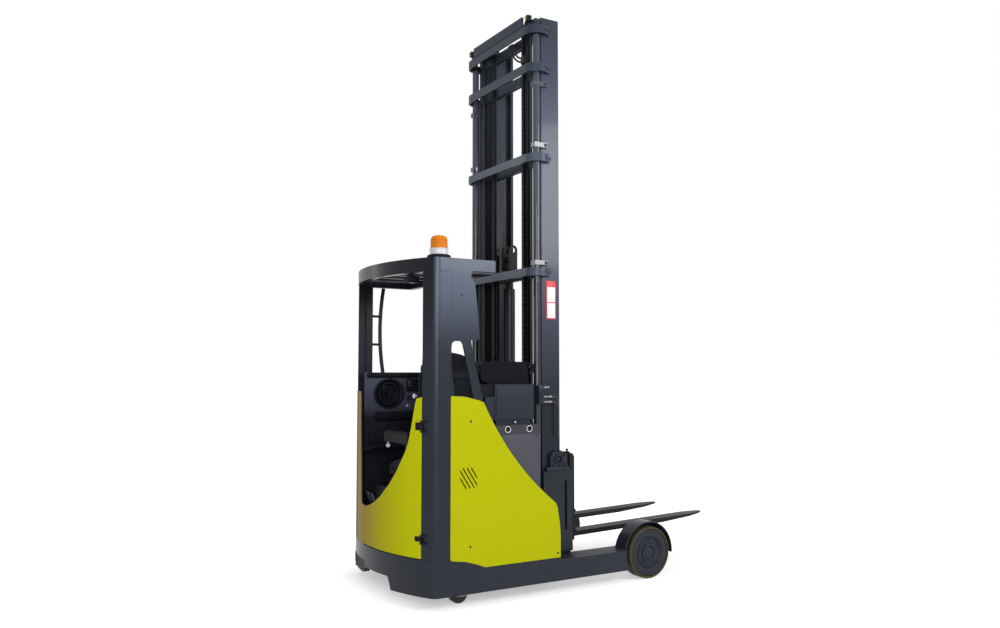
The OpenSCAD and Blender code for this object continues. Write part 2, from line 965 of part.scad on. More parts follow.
module drive_tyre() {
  w = drive_wheel_width / 2;
  color(DARK)
    placed()
      difference() {
        pin_y(drive_x, drive_r, drive_r, drive_y - w, drive_y + w);
        pin_y(drive_x, drive_r, drive_tyre_r, drive_y - w - eps, drive_y + w + eps);
      }
}

// castor under the right rear corner
castor_trail = 28;
castor_w = 44;
castor_top_z = deck_z - deck_plate;
module castor_fork() {
  color(ALL_GREY)
    placed()
      translate([castor_x, castor_y, 0]) {
        post(0, 0, 45, castor_top_z - 28, castor_top_z - seat_gap);
        for (s = [-1, 1])
          box([-castor_trail - 22, s * (castor_w / 2 + 9) - 3, castor_r - 18],
            [24, s * (castor_w / 2 + 9) + 3, castor_top_z - 28]);
        box([-castor_trail - 22, -castor_w / 2 - 12, castor_top_z - 34],
          [24, castor_w / 2 + 12, castor_top_z - 28]);
        pin_y(-castor_trail, castor_r, 8, -castor_w / 2 - 12, castor_w / 2 + 12);
      }
}
module castor_wheel() {
  color(DARK)
    placed()
      translate([castor_x - castor_trail, castor_y, castor_r])
        rotate([90, 0, 0])
          difference() {
            cylinder(r = castor_r, h = castor_w, center = true);
            cylinder(r = 8 + running_gap, h = castor_w + 2, center = true);
          }
}

// reach carriage that rolls in the legs
carriage_y = outer_rail_y + 8;
carriage_rear_x = chassis_front_x + 8;
carriage_low_z = 100;
carriage_plate = 12;
reach_front_x = 1127;
reach_plate_z = 770;
reach_slot = [1062, 1080, 370, 700];
reach_web_x = cylinder_x + barrel_r + 2;
reach_shell_y = carriage_y + 26;
reach_low_z = leg_top_z + 11;
reach_axles = [945, 1100];
reach_axle_r = 16;
roller_z = (channel_low_z + channel_high_z) / 2;
reach_roller_r = (channel_high_z - channel_low_z) / 2 - 5;
channel_wall_y = leg_web_y - leg_plate;
boss_at = [1018, 846];
module reach_side() {
  difference() {
    union() {
      across(-carriage_y, -outer_rail_y)
        polygon([
          [carriage_rear_x, carriage_low_z], [reach_front_x, carriage_low_z],
          [reach_front_x, reach_plate_z], [reach_web_x, reach_plate_z], [reach_web_x, 240],
          [carriage_rear_x, 240]
        ]);
      across(-reach_shell_y, -carriage_y)
        polygon([
          [890, reach_low_z], [reach_front_x, reach_low_z],
          [reach_front_x, reach_plate_z - 18], [reach_front_x - 18, reach_plate_z],
          [890, reach_plate_z]
        ]);
    }
    across(-reach_shell_y - eps, -outer_rail_y + eps)
      polygon([
        [reach_slot[0], reach_slot[2]], [reach_slot[1], reach_slot[2]],
        [reach_slot[1], reach_slot[3]], [reach_slot[0], reach_slot[3]]
      ]);
  }
  difference() {
    across(-reach_shell_y + 8, -outer_rail_y)
      polygon([
        [948, reach_plate_z], [1089, reach_plate_z], [1086, reach_plate_z + 96],
        [1066, reach_plate_z + 128], [970, reach_plate_z + 128], [950, reach_plate_z + 104]
      ]);
    pin_y(boss_at[0], boss_at[1], 22, -reach_shell_y - eps, -reach_shell_y + 20);
  }
  pin_y(boss_at[0], boss_at[1], 13, -reach_shell_y + 4, -reach_shell_y + 20 + eps);
  for (x = reach_axles) {
    pin_y(x, roller_z, reach_roller_r, 5 - channel_wall_y, -leg_inner_y - 2);
    pin_y(x, roller_z, reach_axle_r, -leg_inner_y - 2 - eps, -outer_rail_y - 4);
    pin_y(x, roller_z, reach_axle_r - 4, seat_gap - channel_wall_y, 6 - channel_wall_y);
  }
  box([cylinder_x - 30, -carriage_y, 225], [cylinder_x + 30, 31 - outer_rail_y, 240]);
}
module reach_carriage() {
  color(ALL_GREY)
    placed() {
      both_sides()
        reach_side();
      box([carriage_rear_x, -carriage_y, carriage_low_z],
        [carriage_rear_x + carriage_plate, carriage_y, reach_plate_z + 30]);
      box([carriage_rear_x, -carriage_y, carriage_low_z],
        [reach_front_x - 40, carriage_y, carriage_low_z + carriage_plate]);
    }
}

// one mast rail, open towards the middle
module rail(x0, y_out, z0, z1) {
  translate([0, 0, z0])
    linear_extrude(z1 - z0)
      difference() {
        translate([x0, -y_out])
          square([rail_depth, rail_width]);
        translate([x0 + rail_flange, -y_out + rail_web])
          square([rail_depth - 2 * rail_flange, rail_width]);
      }
}
outer_low_z = carriage_low_z + carriage_plate;
outer_high_z = mast_top - 10;
module outer_mast() {
  color(ALL_GREY)
    placed()
      both_sides()
        rail(outer_rail_x, outer_rail_y, outer_low_z, outer_high_z);
}

// flat bars that wrap round the lift cylinders
bar_drops = [[1835, 1778], [1042, 986], [412, 350], [140, 80]];
bar_sheet = 12;
wrap_r = 92;
wrap_x = cylinder_x + 22;
wrap_y = outer_rail_y - 41;
module wrap_bar() {
  translate([wrap_x - wrap_r, -wrap_y])
    square([bar_sheet, 2 * wrap_y]);
  for (s = [-1, 1])
    difference() {
      translate([wrap_x, s * wrap_y])
        circle(wrap_r, $fn = 96);
      translate([wrap_x, s * wrap_y])
        circle(wrap_r - bar_sheet, $fn = 96);
      translate([wrap_x - 2 * wrap_r, s > 0 ? wrap_y - 2 * wrap_r : -wrap_y])
        square([4 * wrap_r, 2 * wrap_r]);
      translate([outer_rail_x, -outer_rail_y])
        square([2 * wrap_r, 2 * outer_rail_y]);
    }
}
module outer_crossbars() {
  color(ALL_GREY)
    placed()
      for (b = bar_drops)
        translate([0, 0, mast_top - b[0]])
          linear_extrude(b[0] - b[1])
            wrap_bar();
}

// side lift cylinders on the outer rails
barrel_low_z = 240;
barrel_high_z = mast_top - 130;
clamp_height = 34;
clamp_lug = 42;
low_clamp_z = 1250;
clamp_drops = [1760, 940, 510];
module lift_barrels() {
  color(ALL_GREY)
    placed()
      both_sides() {
        difference() {
          post(cylinder_x, -cylinder_y, barrel_r, barrel_low_z, barrel_high_z);
          post(cylinder_x, -cylinder_y, rod_r + running_gap, barrel_low_z + 30, big);
        }
        for (z = concat([low_clamp_z], [for (d = clamp_drops) mast_top - d]))
          difference() {
            union() {
              box([cylinder_x - barrel_r - 4, -cylinder_y - barrel_r - 1, z],
                [outer_rail_x, barrel_r + 1 - cylinder_y, z + clamp_height]);
              box([cylinder_x, -cylinder_y - barrel_r - 1, z],
                [outer_rail_x + clamp_lug, -outer_rail_y, z + clamp_height]);
            }
            post(cylinder_x, -cylinder_y, barrel_r - 2, 0, big);
          }
      }
}

// middle stage
middle_rail_x = outer_rail_x + stage_step;
middle_rail_y = outer_rail_y - rail_width - rail_gap;
guide_z = 210;
upper_guide_z = 1100;
middle_tie_rise = 0;
tie_height = 65;
low_ties = [outer_low_z + 208, outer_low_z + 1320];
strip_sheet = 4;
strip_flange = 25;
tie_depth = 16;
tie_rear_x = middle_rail_x - tie_depth;
strip_x = tie_rear_x - strip_sheet;
strip_y = [186, 253];
strip_z = [low_ties[0], mast_top - 80];
module stage_guides(x0, y_out, z) {
  roller_r = rail_depth / 2 - rail_flange - 5;
  reach = rail_gap + rail_width - rail_web;
  x = x0 - stage_step + rail_depth / 2;
  pin_y(x, z, roller_r, -y_out - reach + clear_gap, -y_out - rail_gap);
  pin_y(x, z, 14, -y_out - reach + seat_gap, -y_out + eps);
}
module middle_mast() {
  color(ALL_GREY)
    placed() {
      both_sides() {
        rail(middle_rail_x, middle_rail_y, outer_low_z + 13, mast_top);
        for (z = [guide_z, upper_guide_z])
          stage_guides(middle_rail_x, middle_rail_y, z);
      }
    }
}
// bars between the rails of the middle stage
middle_ties = concat(low_ties, [for (b = bar_drops) mast_top - b[0] + middle_tie_rise]);
module middle_crossbars() {
  color(ALL_GREY)
    placed()
      for (z = middle_ties)
        box([tie_rear_x, -middle_rail_y, z],
          [middle_rail_x, middle_rail_y, z + tie_height]);
}
// angle strips beside the chains, notched round the bars they are welded to
module chain_guards() {
  color(ALL_GREY)
    placed()
      both_sides() {
        box([strip_x, -strip_y[1], strip_z[0]], [tie_rear_x, -strip_y[0], strip_z[1]]);
        difference() {
          box([strip_x, -strip_y[1], strip_z[0]],
            [strip_x + strip_flange, strip_sheet - strip_y[1], strip_z[1]]);
          for (z = middle_ties)
            box([tie_rear_x, -big, z - seat_gap], [big, big, z + tie_height + seat_gap]);
        }
      }
}

// top bridge of the middle stage with the rod seats and the hose sheave
tie_x = 797;
bridge_low_z = mast_top - 72;
bridge_y = middle_rail_y - 22;
rod_top_z = mast_top - 54;
chain_y = [200, 228];
module middle_top_tie() {
  color(ALL_GREY)
    placed() {
      box([tie_x, -bridge_y, bridge_low_z], [tie_x + 14, bridge_y, mast_top]);
      both_sides() {
        box([tie_x, -bridge_y, bridge_low_z],
          [middle_rail_x, -chain_y[0], bridge_low_z + 24]);
        box([cylinder_x - 24, -cylinder_y - barrel_r, rod_top_z],
          [outer_rail_x - clear_gap, -bridge_y + eps, rod_top_z + 20]);
        difference() {
          post(cylinder_x, -cylinder_y, rod_r + 8, rod_top_z - 14, rod_top_z + eps);
          post(cylinder_x, -cylinder_y, rod_r, rod_top_z - 15, rod_top_z);
        }
      }
    }
}
module lift_rods() {
  color(STEEL)
    placed()
      both_sides()
        post(cylinder_x, -cylinder_y, rod_r, 900, rod_top_z);
}
chain_x = [strip_x - 18, strip_x - 6];
chain_low_z = outer_low_z + 320;
module lift_chains() {
  color(ALL_GREY)
    placed()
      both_sides()
        box([chain_x[0], -chain_y[1], chain_low_z], [chain_x[1], -chain_y[0], bridge_low_z]);
}
// pipes beside the cylinders and two short hoses under the top bar
pipe_r = 9;
pipe_y = cylinder_y - 66;
pipe_loop_r = 32;
pipe_loop_z = mast_top - 440;
pipe_low_z = low_ties[0] + 20;
hose_r = 7;
hose_x = strip_x - 33;
hose_centre = [-290, mast_top - 65];
hose_bend = [216, 190];
hose_block = 22;
module pipe_stays(y) {
  for (z = concat(low_ties, [for (b = bar_drops) mast_top - b[0]]))
    if (z < pipe_loop_z || y < 0)
      box([cylinder_x, y - pipe_r, z + 20], [tie_rear_x, y + pipe_r, z + 44]);
}
module mast_hoses() {
  color(DARK)
    placed() {
      post(cylinder_x, -pipe_y, pipe_r, pipe_low_z, mast_top - bar_drops[3][0] + 44);
      pipe_stays(-pipe_y);
      for (y = [pipe_y, pipe_y - 2 * pipe_loop_r])
        post(cylinder_x, y, pipe_r, pipe_low_z, pipe_loop_z);
      pipe_stays(pipe_y);
      pipe_stays(pipe_y - 2 * pipe_loop_r);
      translate([cylinder_x, pipe_y - pipe_loop_r, pipe_loop_z])
        rotate([90, 0, 90])
          rotate_extrude(angle = 180, $fn = 64)
            translate([pipe_loop_r, 0])
              circle(pipe_r, $fn = 24);
      for (r = hose_bend)
        translate([hose_x, hose_centre[0], hose_centre[1]])
          rotate([90, 0, 90])
            rotate([0, 0, -80])
              rotate_extrude(angle = 66, $fn = 128)
                translate([r, 0])
                  circle(hose_r, $fn = 24);
      box([hose_x - 2 * hose_r, hose_centre[0] + 170, hose_centre[1] - 68],
        [tie_rear_x, hose_centre[0] + 226, hose_centre[1] - 40]);
      box([hose_x - 2 * hose_r, hose_centre[0] + 16, hose_centre[1] - 225],
        [strip_x, hose_centre[0] + 54, hose_centre[1] - 176]);
    }
}

// inner stage with the free lift cylinder
inner_rail_x = middle_rail_x + stage_step;
inner_rail_y = middle_rail_y - rail_width - rail_gap;
inner_gap_y = inner_rail_y - rail_width;
head_x = inner_rail_x + 50;
head_y = 0.6 * inner_gap_y;
head_r = 28;
free_barrel_r = 42;
inner_tie = 14;
inner_low_z = outer_low_z + 26;
module inner_mast() {
  color(ALL_GREY)
    placed() {
      both_sides() {
        rail(inner_rail_x, inner_rail_y, inner_low_z, mast_top - 12);
        for (z = [guide_z, upper_guide_z])
          stage_guides(inner_rail_x, inner_rail_y, z);
      }
      for (z = concat([inner_low_z + 14], [for (b = bar_drops) mast_top - b[0]]))
        box([inner_rail_x - inner_tie, -inner_rail_y, z],
          [inner_rail_x, inner_rail_y, z + tie_height - 5]);
      box([inner_rail_x - inner_tie, head_y - 50, inner_low_z],
        [head_x + 44, head_y + 50, inner_low_z + 18]);
      box([inner_rail_x - inner_tie, head_y - 50, inner_low_z],
        [inner_rail_x, head_y + 50, inner_low_z + 40]);
    }
}
module free_lift_barrel() {
  color(ALL_GREY)
    placed()
      difference() {
        post(head_x, head_y, free_barrel_r, inner_low_z + 18, free_barrel_top);
        post(head_x, head_y, head_r + running_gap, inner_low_z + 54, big);
      }
}
yoke_z = free_barrel_top + 140;
yoke_half = 55;
sheave_r = 26;
sheave_half = 34;
sheave_z = yoke_z + 82;
eye_z = yoke_z + 150;
eye_hole_r = 22;
module free_lift_head() {
  color(STEEL)
    placed() {
      post(head_x, head_y, head_r, 700, yoke_z + eps);
      box([head_x - 36, head_y - yoke_half, yoke_z], [head_x + 36, head_y + yoke_half, yoke_z + 50]);
      for (s = [-1, 1])
        difference() {
          union() {
            box([head_x - 36, head_y + s * 47 - 8, yoke_z + 50],
              [head_x + 36, head_y + s * 47 + 8, eye_z]);
            pin_y(head_x, eye_z, 36, head_y + s * 47 - 8, head_y + s * 47 + 8);
          }
          pin_y(head_x, eye_z, eye_hole_r, -big, big);
        }
      pin_y(head_x, sheave_z, sheave_r, head_y - sheave_half, head_y + sheave_half);
      pin_y(head_x, sheave_z, 12, head_y - yoke_half, head_y + yoke_half);
    }
}

// fork carriage in the inner rails
carriage_plate_y = inner_gap_y - 7;
carriage_guide_x = inner_rail_x + rail_depth / 2;
carriage_bar_x = inner_rail_x + rail_depth + clear_gap;
carriage_bar = 28;
carriage_half = 300;
carriage_z = [380, 860];
carriage_rollers = [440, 800];
bar_low = [320, 400];
bar_high = [800, 880];
module fork_carriage() {
  roller_r = rail_depth / 2 - rail_flange - 5;
  web_y = inner_rail_y - rail_web;
  front_x = carriage_bar_x + carriage_bar;
  color(ALL_GREY)
    placed() {
      both_sides() {
        across(-carriage_plate_y, -carriage_plate_y + 24)
          polygon([
            [carriage_guide_x - 38, carriage_z[0] + 10], [carriage_bar_x, carriage_z[0]],
            [carriage_bar_x, bar_low[0]], [front_x, bar_low[0]], [front_x, bar_high[1]],
            [carriage_bar_x, bar_high[1]], [carriage_bar_x, carriage_z[1]],
            [carriage_guide_x - 38, carriage_z[1] - 10]
          ]);
        for (z = carriage_rollers) {
          pin_y(carriage_guide_x, z, roller_r, clear_gap - web_y, -carriage_plate_y - 4);
          pin_y(carriage_guide_x, z, 14, seat_gap - web_y, -carriage_plate_y + eps);
        }
      }
      for (b = [bar_low, bar_high])
        box([carriage_bar_x, -carriage_half, b[0]], [front_x, carriage_half, b[1]]);
    }
}

// sideways shifter with the tilt pins
shift_x = carriage_bar_x + carriage_bar + seat_gap;
shift_plate = 14;
shift_half = 290;
tilt_pin_x = shift_x + shift_plate + 18;
tilt_pin_z = 820;
tilt_pin_r = 8;
lug_y = 180;
lug_half = 20;
lug_r = 13;
ear_width = 16;
module side_shift_frame() {
  front_x = shift_x + shift_plate;
  color(ALL_GREY)
    placed() {
      box([shift_x, -shift_half, bar_low[0] + 10], [front_x, shift_half, bar_low[1] - 10]);
      box([shift_x, -shift_half, bar_high[0] - 10], [front_x, shift_half, bar_high[1] - 10]);
      for (s = [-1, 1])
        box([shift_x, s * 230 - 30, bar_low[0] + 10],
          [front_x, s * 230 + 30, bar_high[1] - 10]);
      for (s = [-1, 1]) {
        for (k = [-1, 1]) {
          y = s * lug_y + k * (lug_half + clear_gap + ear_width / 2);
          pin_y(tilt_pin_x, tilt_pin_z, lug_r - 1, y - ear_width / 2, y + ear_width / 2);
          box([front_x - eps, y - ear_width / 2, tilt_pin_z - lug_r + 1],
            [tilt_pin_x, y + ear_width / 2, tilt_pin_z + lug_r - 1]);
        }
        pin_y(tilt_pin_x, tilt_pin_z, tilt_pin_r, s * lug_y - lug_half - clear_gap - 2,
          s * lug_y + lug_half + clear_gap + 2);
      }
    }
}
plate_x = tilt_pin_x + 18;
plate_thick = 28;
tilt_half = 305;
tilt_low = [300, 380];
tilt_high = [775, 865];
module tilt_plate() {
  front_x = plate_x + plate_thick;
  color(ALL_GREY)
    placed()
      difference() {
        union() {
          for (b = [tilt_low, tilt_high])
            box([plate_x, -tilt_half, b[0]], [front_x, tilt_half, b[1]]);
          for (s = [-1, 1])
            box([plate_x, s * 120 - 30, tilt_low[0]], [front_x, s * 120 + 30, tilt_high[1]]);
          for (s = [-1, 1]) {
            pin_y(tilt_pin_x, tilt_pin_z, lug_r, s * lug_y - lug_half, s * lug_y + lug_half);
            box([tilt_pin_x, s * lug_y - lug_half, tilt_pin_z - lug_r],
              [plate_x + eps, s * lug_y + lug_half, tilt_pin_z + lug_r]);
          }
        }
        pin_y(tilt_pin_x, tilt_pin_z, tilt_pin_r + running_gap, -tilt_half, tilt_half);
      }
}

// one tapered fork
shank_x = plate_x + plate_thick;
fork_tip_thick = 12;
fork_taper = 420;
heel_fillet = 24;
module fork() {
  heel_x = shank_x + fork_thick + 8;
  heel_top_z = fork_z + fork_thick;
  tip_top_z = heel_top_z + fork_rise;
  taper_z = fork_z + fork_rise * (1 - fork_taper / (fork_tip_x - shank_x));
  heel_fillet_z = heel_top_z + heel_fillet * fork_rise / (fork_tip_x - heel_x);
  tip_half = fork_width / 2 - fork_width / 3;
  intersection() {
    across(-fork_width / 2, fork_width / 2)
      difference() {
        polygon([
          [shank_x, fork_z], [fork_tip_x - fork_taper, taper_z],
          [fork_tip_x, tip_top_z - fork_tip_thick], [fork_tip_x, tip_top_z],
          [heel_x + heel_fillet, heel_fillet_z], [heel_x, heel_top_z + heel_fillet],
          [heel_x, shank_top_z - 24], [heel_x - 14, shank_top_z],
          [shank_x, shank_top_z]
        ]);
      }
    linear_extrude(guard_height)
      polygon([
        [shank_x - eps, -fork_width / 2], [fork_tip_x - 150, -fork_width / 2],
        [fork_tip_x - 40, -tip_half - 12], [fork_tip_x - 8, -tip_half],
        [fork_tip_x, 8 - tip_half], [fork_tip_x, tip_half - 8], [fork_tip_x - 8, tip_half],
        [fork_tip_x - 40, tip_half + 12], [fork_tip_x - 150, fork_width / 2],
        [shank_x - eps, fork_width / 2]
      ]);
  }
}
module fork_right() {
  color(DARK)
    placed()
      translate([0, -fork_y, 0])
        fork();
}
module fork_left() {
  color(DARK)
    placed()
      translate([0, fork_y, 0])
        fork();
}

chassis_frame();
leg_right();
leg_left();
corner_column();
guard_side_plate();
roof_frame();
left_pillar();
side_panel_right();
side_panel_left();
tail_strip();
floor_pan();
seat_base();
seat_cushion();
seat_back();
dashboard();
steering_wheel();
lever_console();
battery_case();
battery_hood();
beacon_base();
beacon_lens();
tail_foot();
hinge_brackets();
rear_panel();
door_hinges();
drive_gearbox();
drive_motor();
drive_hub();
drive_tyre();
castor_fork();
castor_wheel();
load_hub_right();
load_tyre_right();
load_hub_left();
load_tyre_left();
reach_carriage();
outer_mast();
outer_crossbars();
lift_barrels();
middle_mast();
middle_crossbars();
chain_guards();
middle_top_tie();
lift_rods();
lift_chains();
mast_hoses();
inner_mast();
free_lift_barrel();
free_lift_head();
fork_carriage();
side_shift_frame();
tilt_plate();
fork_right();
fork_left();
pedals();
hood_top();
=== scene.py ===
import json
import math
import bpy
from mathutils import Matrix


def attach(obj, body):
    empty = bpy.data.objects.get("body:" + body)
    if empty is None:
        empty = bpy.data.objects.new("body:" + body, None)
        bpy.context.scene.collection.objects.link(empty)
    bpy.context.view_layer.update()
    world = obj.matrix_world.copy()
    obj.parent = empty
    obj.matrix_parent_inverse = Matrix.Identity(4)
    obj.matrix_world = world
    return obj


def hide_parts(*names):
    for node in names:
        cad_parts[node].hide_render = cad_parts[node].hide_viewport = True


bl_info = {
    "name": "Reach Truck Looks",
    "version": (1, 0, 0),
    "blender": (4, 5, 0),
    "location": "View3D > Sidebar > Reach Truck",
    "description": "Paint, upholstery and fittings for a packed reach truck",
    "category": "Object",
}

import bpy
import bmesh
from mathutils import Matrix, Vector
from mathutils.bvhtree import BVHTree

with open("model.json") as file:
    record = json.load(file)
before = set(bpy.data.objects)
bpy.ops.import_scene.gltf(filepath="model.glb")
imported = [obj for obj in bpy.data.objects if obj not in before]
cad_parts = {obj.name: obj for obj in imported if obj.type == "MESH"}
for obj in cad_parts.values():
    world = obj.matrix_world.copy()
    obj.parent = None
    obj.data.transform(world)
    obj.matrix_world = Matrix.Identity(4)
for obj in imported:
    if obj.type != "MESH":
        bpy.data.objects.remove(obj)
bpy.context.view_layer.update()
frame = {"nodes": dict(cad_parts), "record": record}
record = frame["record"]
nodes = frame["nodes"]
SLOT = {row["node"]: row["material_slot"] for row in record["subparts"]}


class TruckColours(bpy.types.PropertyGroup):
    """Paint and material colours of the truck."""

    frame_paint: bpy.props.FloatVectorProperty(
        name="Frame paint", description="Chassis, mast and guard", subtype="COLOR",
        default=(0.015, 0.0185, 0.027), min=0, max=1)
    panel_paint: bpy.props.FloatVectorProperty(
        name="Panel paint", description="Side panels and rear door", subtype="COLOR",
        default=(0.395, 0.408, 0.0022), min=0, max=1)
    moulding: bpy.props.FloatVectorProperty(
        name="Moulding", description="Dash, hood and floor mouldings", subtype="COLOR",
        default=(0.0075, 0.008, 0.0125), min=0, max=1)
    upholstery: bpy.props.FloatVectorProperty(
        name="Upholstery", description="Seat fabric", subtype="COLOR",
        default=(0.004, 0.0042, 0.0065), min=0, max=1)
    fork_steel: bpy.props.FloatVectorProperty(
        name="Fork steel", description="Forks and carriage", subtype="COLOR",
        default=(0.009, 0.009, 0.0105), min=0, max=1)
    tyre: bpy.props.FloatVectorProperty(
        name="Load tyre", description="Cast load wheel tyres", subtype="COLOR",
        default=(0.066, 0.052, 0.013), min=0, max=1)
    lamp: bpy.props.FloatVectorProperty(
        name="Beacon lens", description="Warning beacon", subtype="COLOR",
        default=(0.74, 0.22, 0.003), min=0, max=1)
    label_red: bpy.props.FloatVectorProperty(
        name="Label edge", description="Edge of the blank plate on the mast", subtype="COLOR",
        default=(0.62, 0.008, 0.02), min=0, max=1)


class TruckSizes(bpy.types.PropertyGroup):
    """Sizes of the fittings that the looks add."""

    edge_width: bpy.props.FloatProperty(
        name="Edge width", description="Rounding of the sheet and casting edges",
        default=0.002, min=0.0005, max=0.006, unit="LENGTH")
    screw_radius: bpy.props.FloatProperty(
        name="Screw radius", description="Panel screws",
        default=0.010125, min=0.004, max=0.012, unit="LENGTH")
    bolt_radius: bpy.props.FloatProperty(
        name="Bolt radius", description="Hexagon bolts on mast and carriage",
        default=0.011, min=0.006, max=0.016, unit="LENGTH")
    seat_swell: bpy.props.FloatProperty(
        name="Seat swell", description="How far a seat pad may swell",
        default=0.018, min=0.004, max=0.03, unit="LENGTH")
    voxel: bpy.props.FloatProperty(
        name="Pad voxel", description="Cell size of the remeshed seat pads",
        default=0.007, min=0.004, max=0.012, unit="LENGTH")
    seal_radius: bpy.props.FloatProperty(
        name="Seal radius", description="Rubber edge round the painted panels",
        default=0.0045, min=0.002, max=0.008, unit="LENGTH")


class Wire:
    """A shader socket that takes part in Python arithmetic."""

    def __init__(self, finish, socket):
        self.finish = finish
        self.socket = socket

    def _maths(self, operation, left, right=None, clamp=False):
        values = {0: left} if right is None else {0: left, 1: right}
        settings = {"operation": operation, "use_clamp": clamp}
        return self.finish.node("ShaderNodeMath", settings, values)

    def __add__(self, other):
        return self._maths("ADD", self, other)

    __radd__ = __add__

    def __sub__(self, other):
        return self._maths("SUBTRACT", self, other)

    def __rsub__(self, other):
        return self._maths("SUBTRACT", other, self)

    def __mul__(self, other):
        return self._maths("MULTIPLY", self, other)

    __rmul__ = __mul__

    def held(self):
        """The value kept between 0 and 1."""
        return self._maths("ADD", self, 0.0, clamp=True)

    def sine(self):
        return self._maths("SINE", self)

    def power(self, exponent):
        return self._maths("POWER", self, exponent)

    def size(self):
        return self._maths("ABSOLUTE", self)

    def highest(self, other):
        return self._maths("MAXIMUM", self, other)


class Finish:
    """One procedural material and the nodes that feed it."""

    def __init__(self, name):
        self.material = bpy.data.materials.new(name)
        self.material.use_nodes = True
        self.tree = self.material.node_tree
        self.shader = self.tree.nodes["Principled BSDF"]
        self.place = self.node("ShaderNodeTexCoord", output="Object")

    def node(self, kind, settings=None, inputs=None, output=0):
        """Adds a node with its settings and the values or links of its sockets."""
        made = self.tree.nodes.new(kind)
        for key, value in (settings or {}).items():
            setattr(made, key, value)
        self.feed(made, inputs or {})
        return Wire(self, made.outputs[output])

    def feed(self, made, inputs):
        for key, value in inputs.items():
            if isinstance(value, Wire):
                self.tree.links.new(value.socket, made.inputs[key])
            else:
                made.inputs[key].default_value = value

    def part(self, axis):
        """One coordinate of the place on the object, in metres."""
        return self.node("ShaderNodeSeparateXYZ", None, {0: self.place}, output=axis)

    def stretch(self, *scale):
        return self.node("ShaderNodeMapping", None, {"Vector": self.place, "Scale": scale})

    def cloud(self, scale, detail=4.0, rough=0.55, at=None):
        return self.node("ShaderNodeTexNoise", None, {
            "Vector": at or self.place, "Scale": scale, "Detail": detail, "Roughness": rough})

    def cells(self, scale):
        return self.node("ShaderNodeTexVoronoi", None, {"Vector": self.place, "Scale": scale})

    def soft_step(self, value, low, high):
        """0 below low, 1 above high, smooth between."""
        return self.node("ShaderNodeMapRange", {"interpolation_type": "SMOOTHSTEP"}, {
            "Value": value, "From Min": low, "From Max": high})

    def mix(self, share, first, second):
        return self.node("ShaderNodeMix", {"data_type": "RGBA"},
                         {0: share, 6: first, 7: second}, output=2)

    def relief(self, height, strength, distance):
        return self.node("ShaderNodeBump", None, {
            "Height": height, "Strength": strength, "Distance": distance})

    def set(self, **values):
        """Feeds the main shader; a name's underscores stand for blanks."""
        self.feed(self.shader, {key.replace("_", " "): v for key, v in values.items()})


def tint(colour, factor, alpha=1.0):
    return (*[min(1.0, c * factor) for c in colour], alpha)


def blend_to(colour, other, share):
    return (*[a + (b - a) * share for a, b in zip(colour, other)], 1.0)


DUST = (0.20, 0.19, 0.17)


def frame_paint_finish(colour, mast=False):
    """Satin frame paint with fine peel, faint rubs and dust near the floor; painted highlight up
    the mast rails, and above 1.5 m painted highlight on the flank faces and painted shade inside
    them.
    """
    f = Finish("mast_paint" if mast else "frame_paint")
    drift = f.cloud(2.6, 3.0)
    peel = f.cloud(620.0, 2.0)
    rub = f.soft_step(f.cloud(34.0, 6.0, 0.62, f.stretch(1.0, 1.0, 0.16)), 0.62, 0.78)
    low = 1.0 - f.soft_step(f.part("Z"), 0.05, 0.45)
    dust = (low * f.cloud(9.0, 5.0) * 0.12).held()
    base = f.mix(drift, tint(colour, 0.88), tint(colour, 1.14))
    height = f.part("Z")
    if mast:
        # Painted highlight: the mast paint lightens up the rails from 1.0 m to 2.7 m and falls
        # back from 2.8 m to 3.9 m.
        base = f.mix(f.soft_step(height, 1.0, 2.7), tint(colour, 0.85), tint(colour, 4.4))
        base = f.mix(f.soft_step(height, 2.8, 3.9) * 0.75, base, tint(colour, 1.6))
    else:
        # Painted highlight on the flank faces above about 1.5 m, and painted shade on the upper
        # faces inside the flanks.
        high = f.soft_step(height, 1.5, 2.05)
        flank = f.soft_step(f.part("Y").size(), 0.60, 0.62)
        base = f.mix(high * flank, base, tint(colour, 5.0))
        base = f.mix(high * (1.0 - flank) * 0.8, base, tint(colour, 0.3))
    base = f.mix(rub * 0.25, base, blend_to(colour, DUST, 0.18))
    base = f.mix(dust, base, blend_to(colour, DUST, 0.25))
    f.set(Base_Color=base, Roughness=0.26 + drift * 0.10 + dust * 0.3,
          Specular_IOR_Level=0.13, Coat_Weight=0.06, Coat_Roughness=0.07,
          Normal=f.relief(peel, 0.03, 0.0005))
    return f.material


def inner_mast_finish(colour):
    """Frame paint of the stages that slide inside the mast, darkened as painted shade, with grease
    streaks and a painted highlight towards the top.
    """
    f = Finish("inner_mast_paint")
    drift = f.cloud(5.0, 4.0)
    grease = f.soft_step(f.cloud(30.0, 5.0, 0.6, f.stretch(1.0, 1.0, 0.06)), 0.50, 0.72)
    high = f.soft_step(f.part("Z"), 2.2, 3.5)
    # Painted shade: the frame colour at 0.18 to 0.34 of its strength.
    base = f.mix(drift, tint(colour, 0.18), tint(colour, 0.34))
    base = f.mix(grease * 0.6, base, tint(colour, 0.1))
    # Painted highlight towards the top of the stages.
    base = f.mix(high * 0.9, base, tint(colour, 2.4))
    f.set(Base_Color=base, Roughness=0.34 + drift * 0.16 - grease * 0.12,
          Specular_IOR_Level=0.12, Normal=f.relief(grease, 0.06, 0.0008))
    return f.material


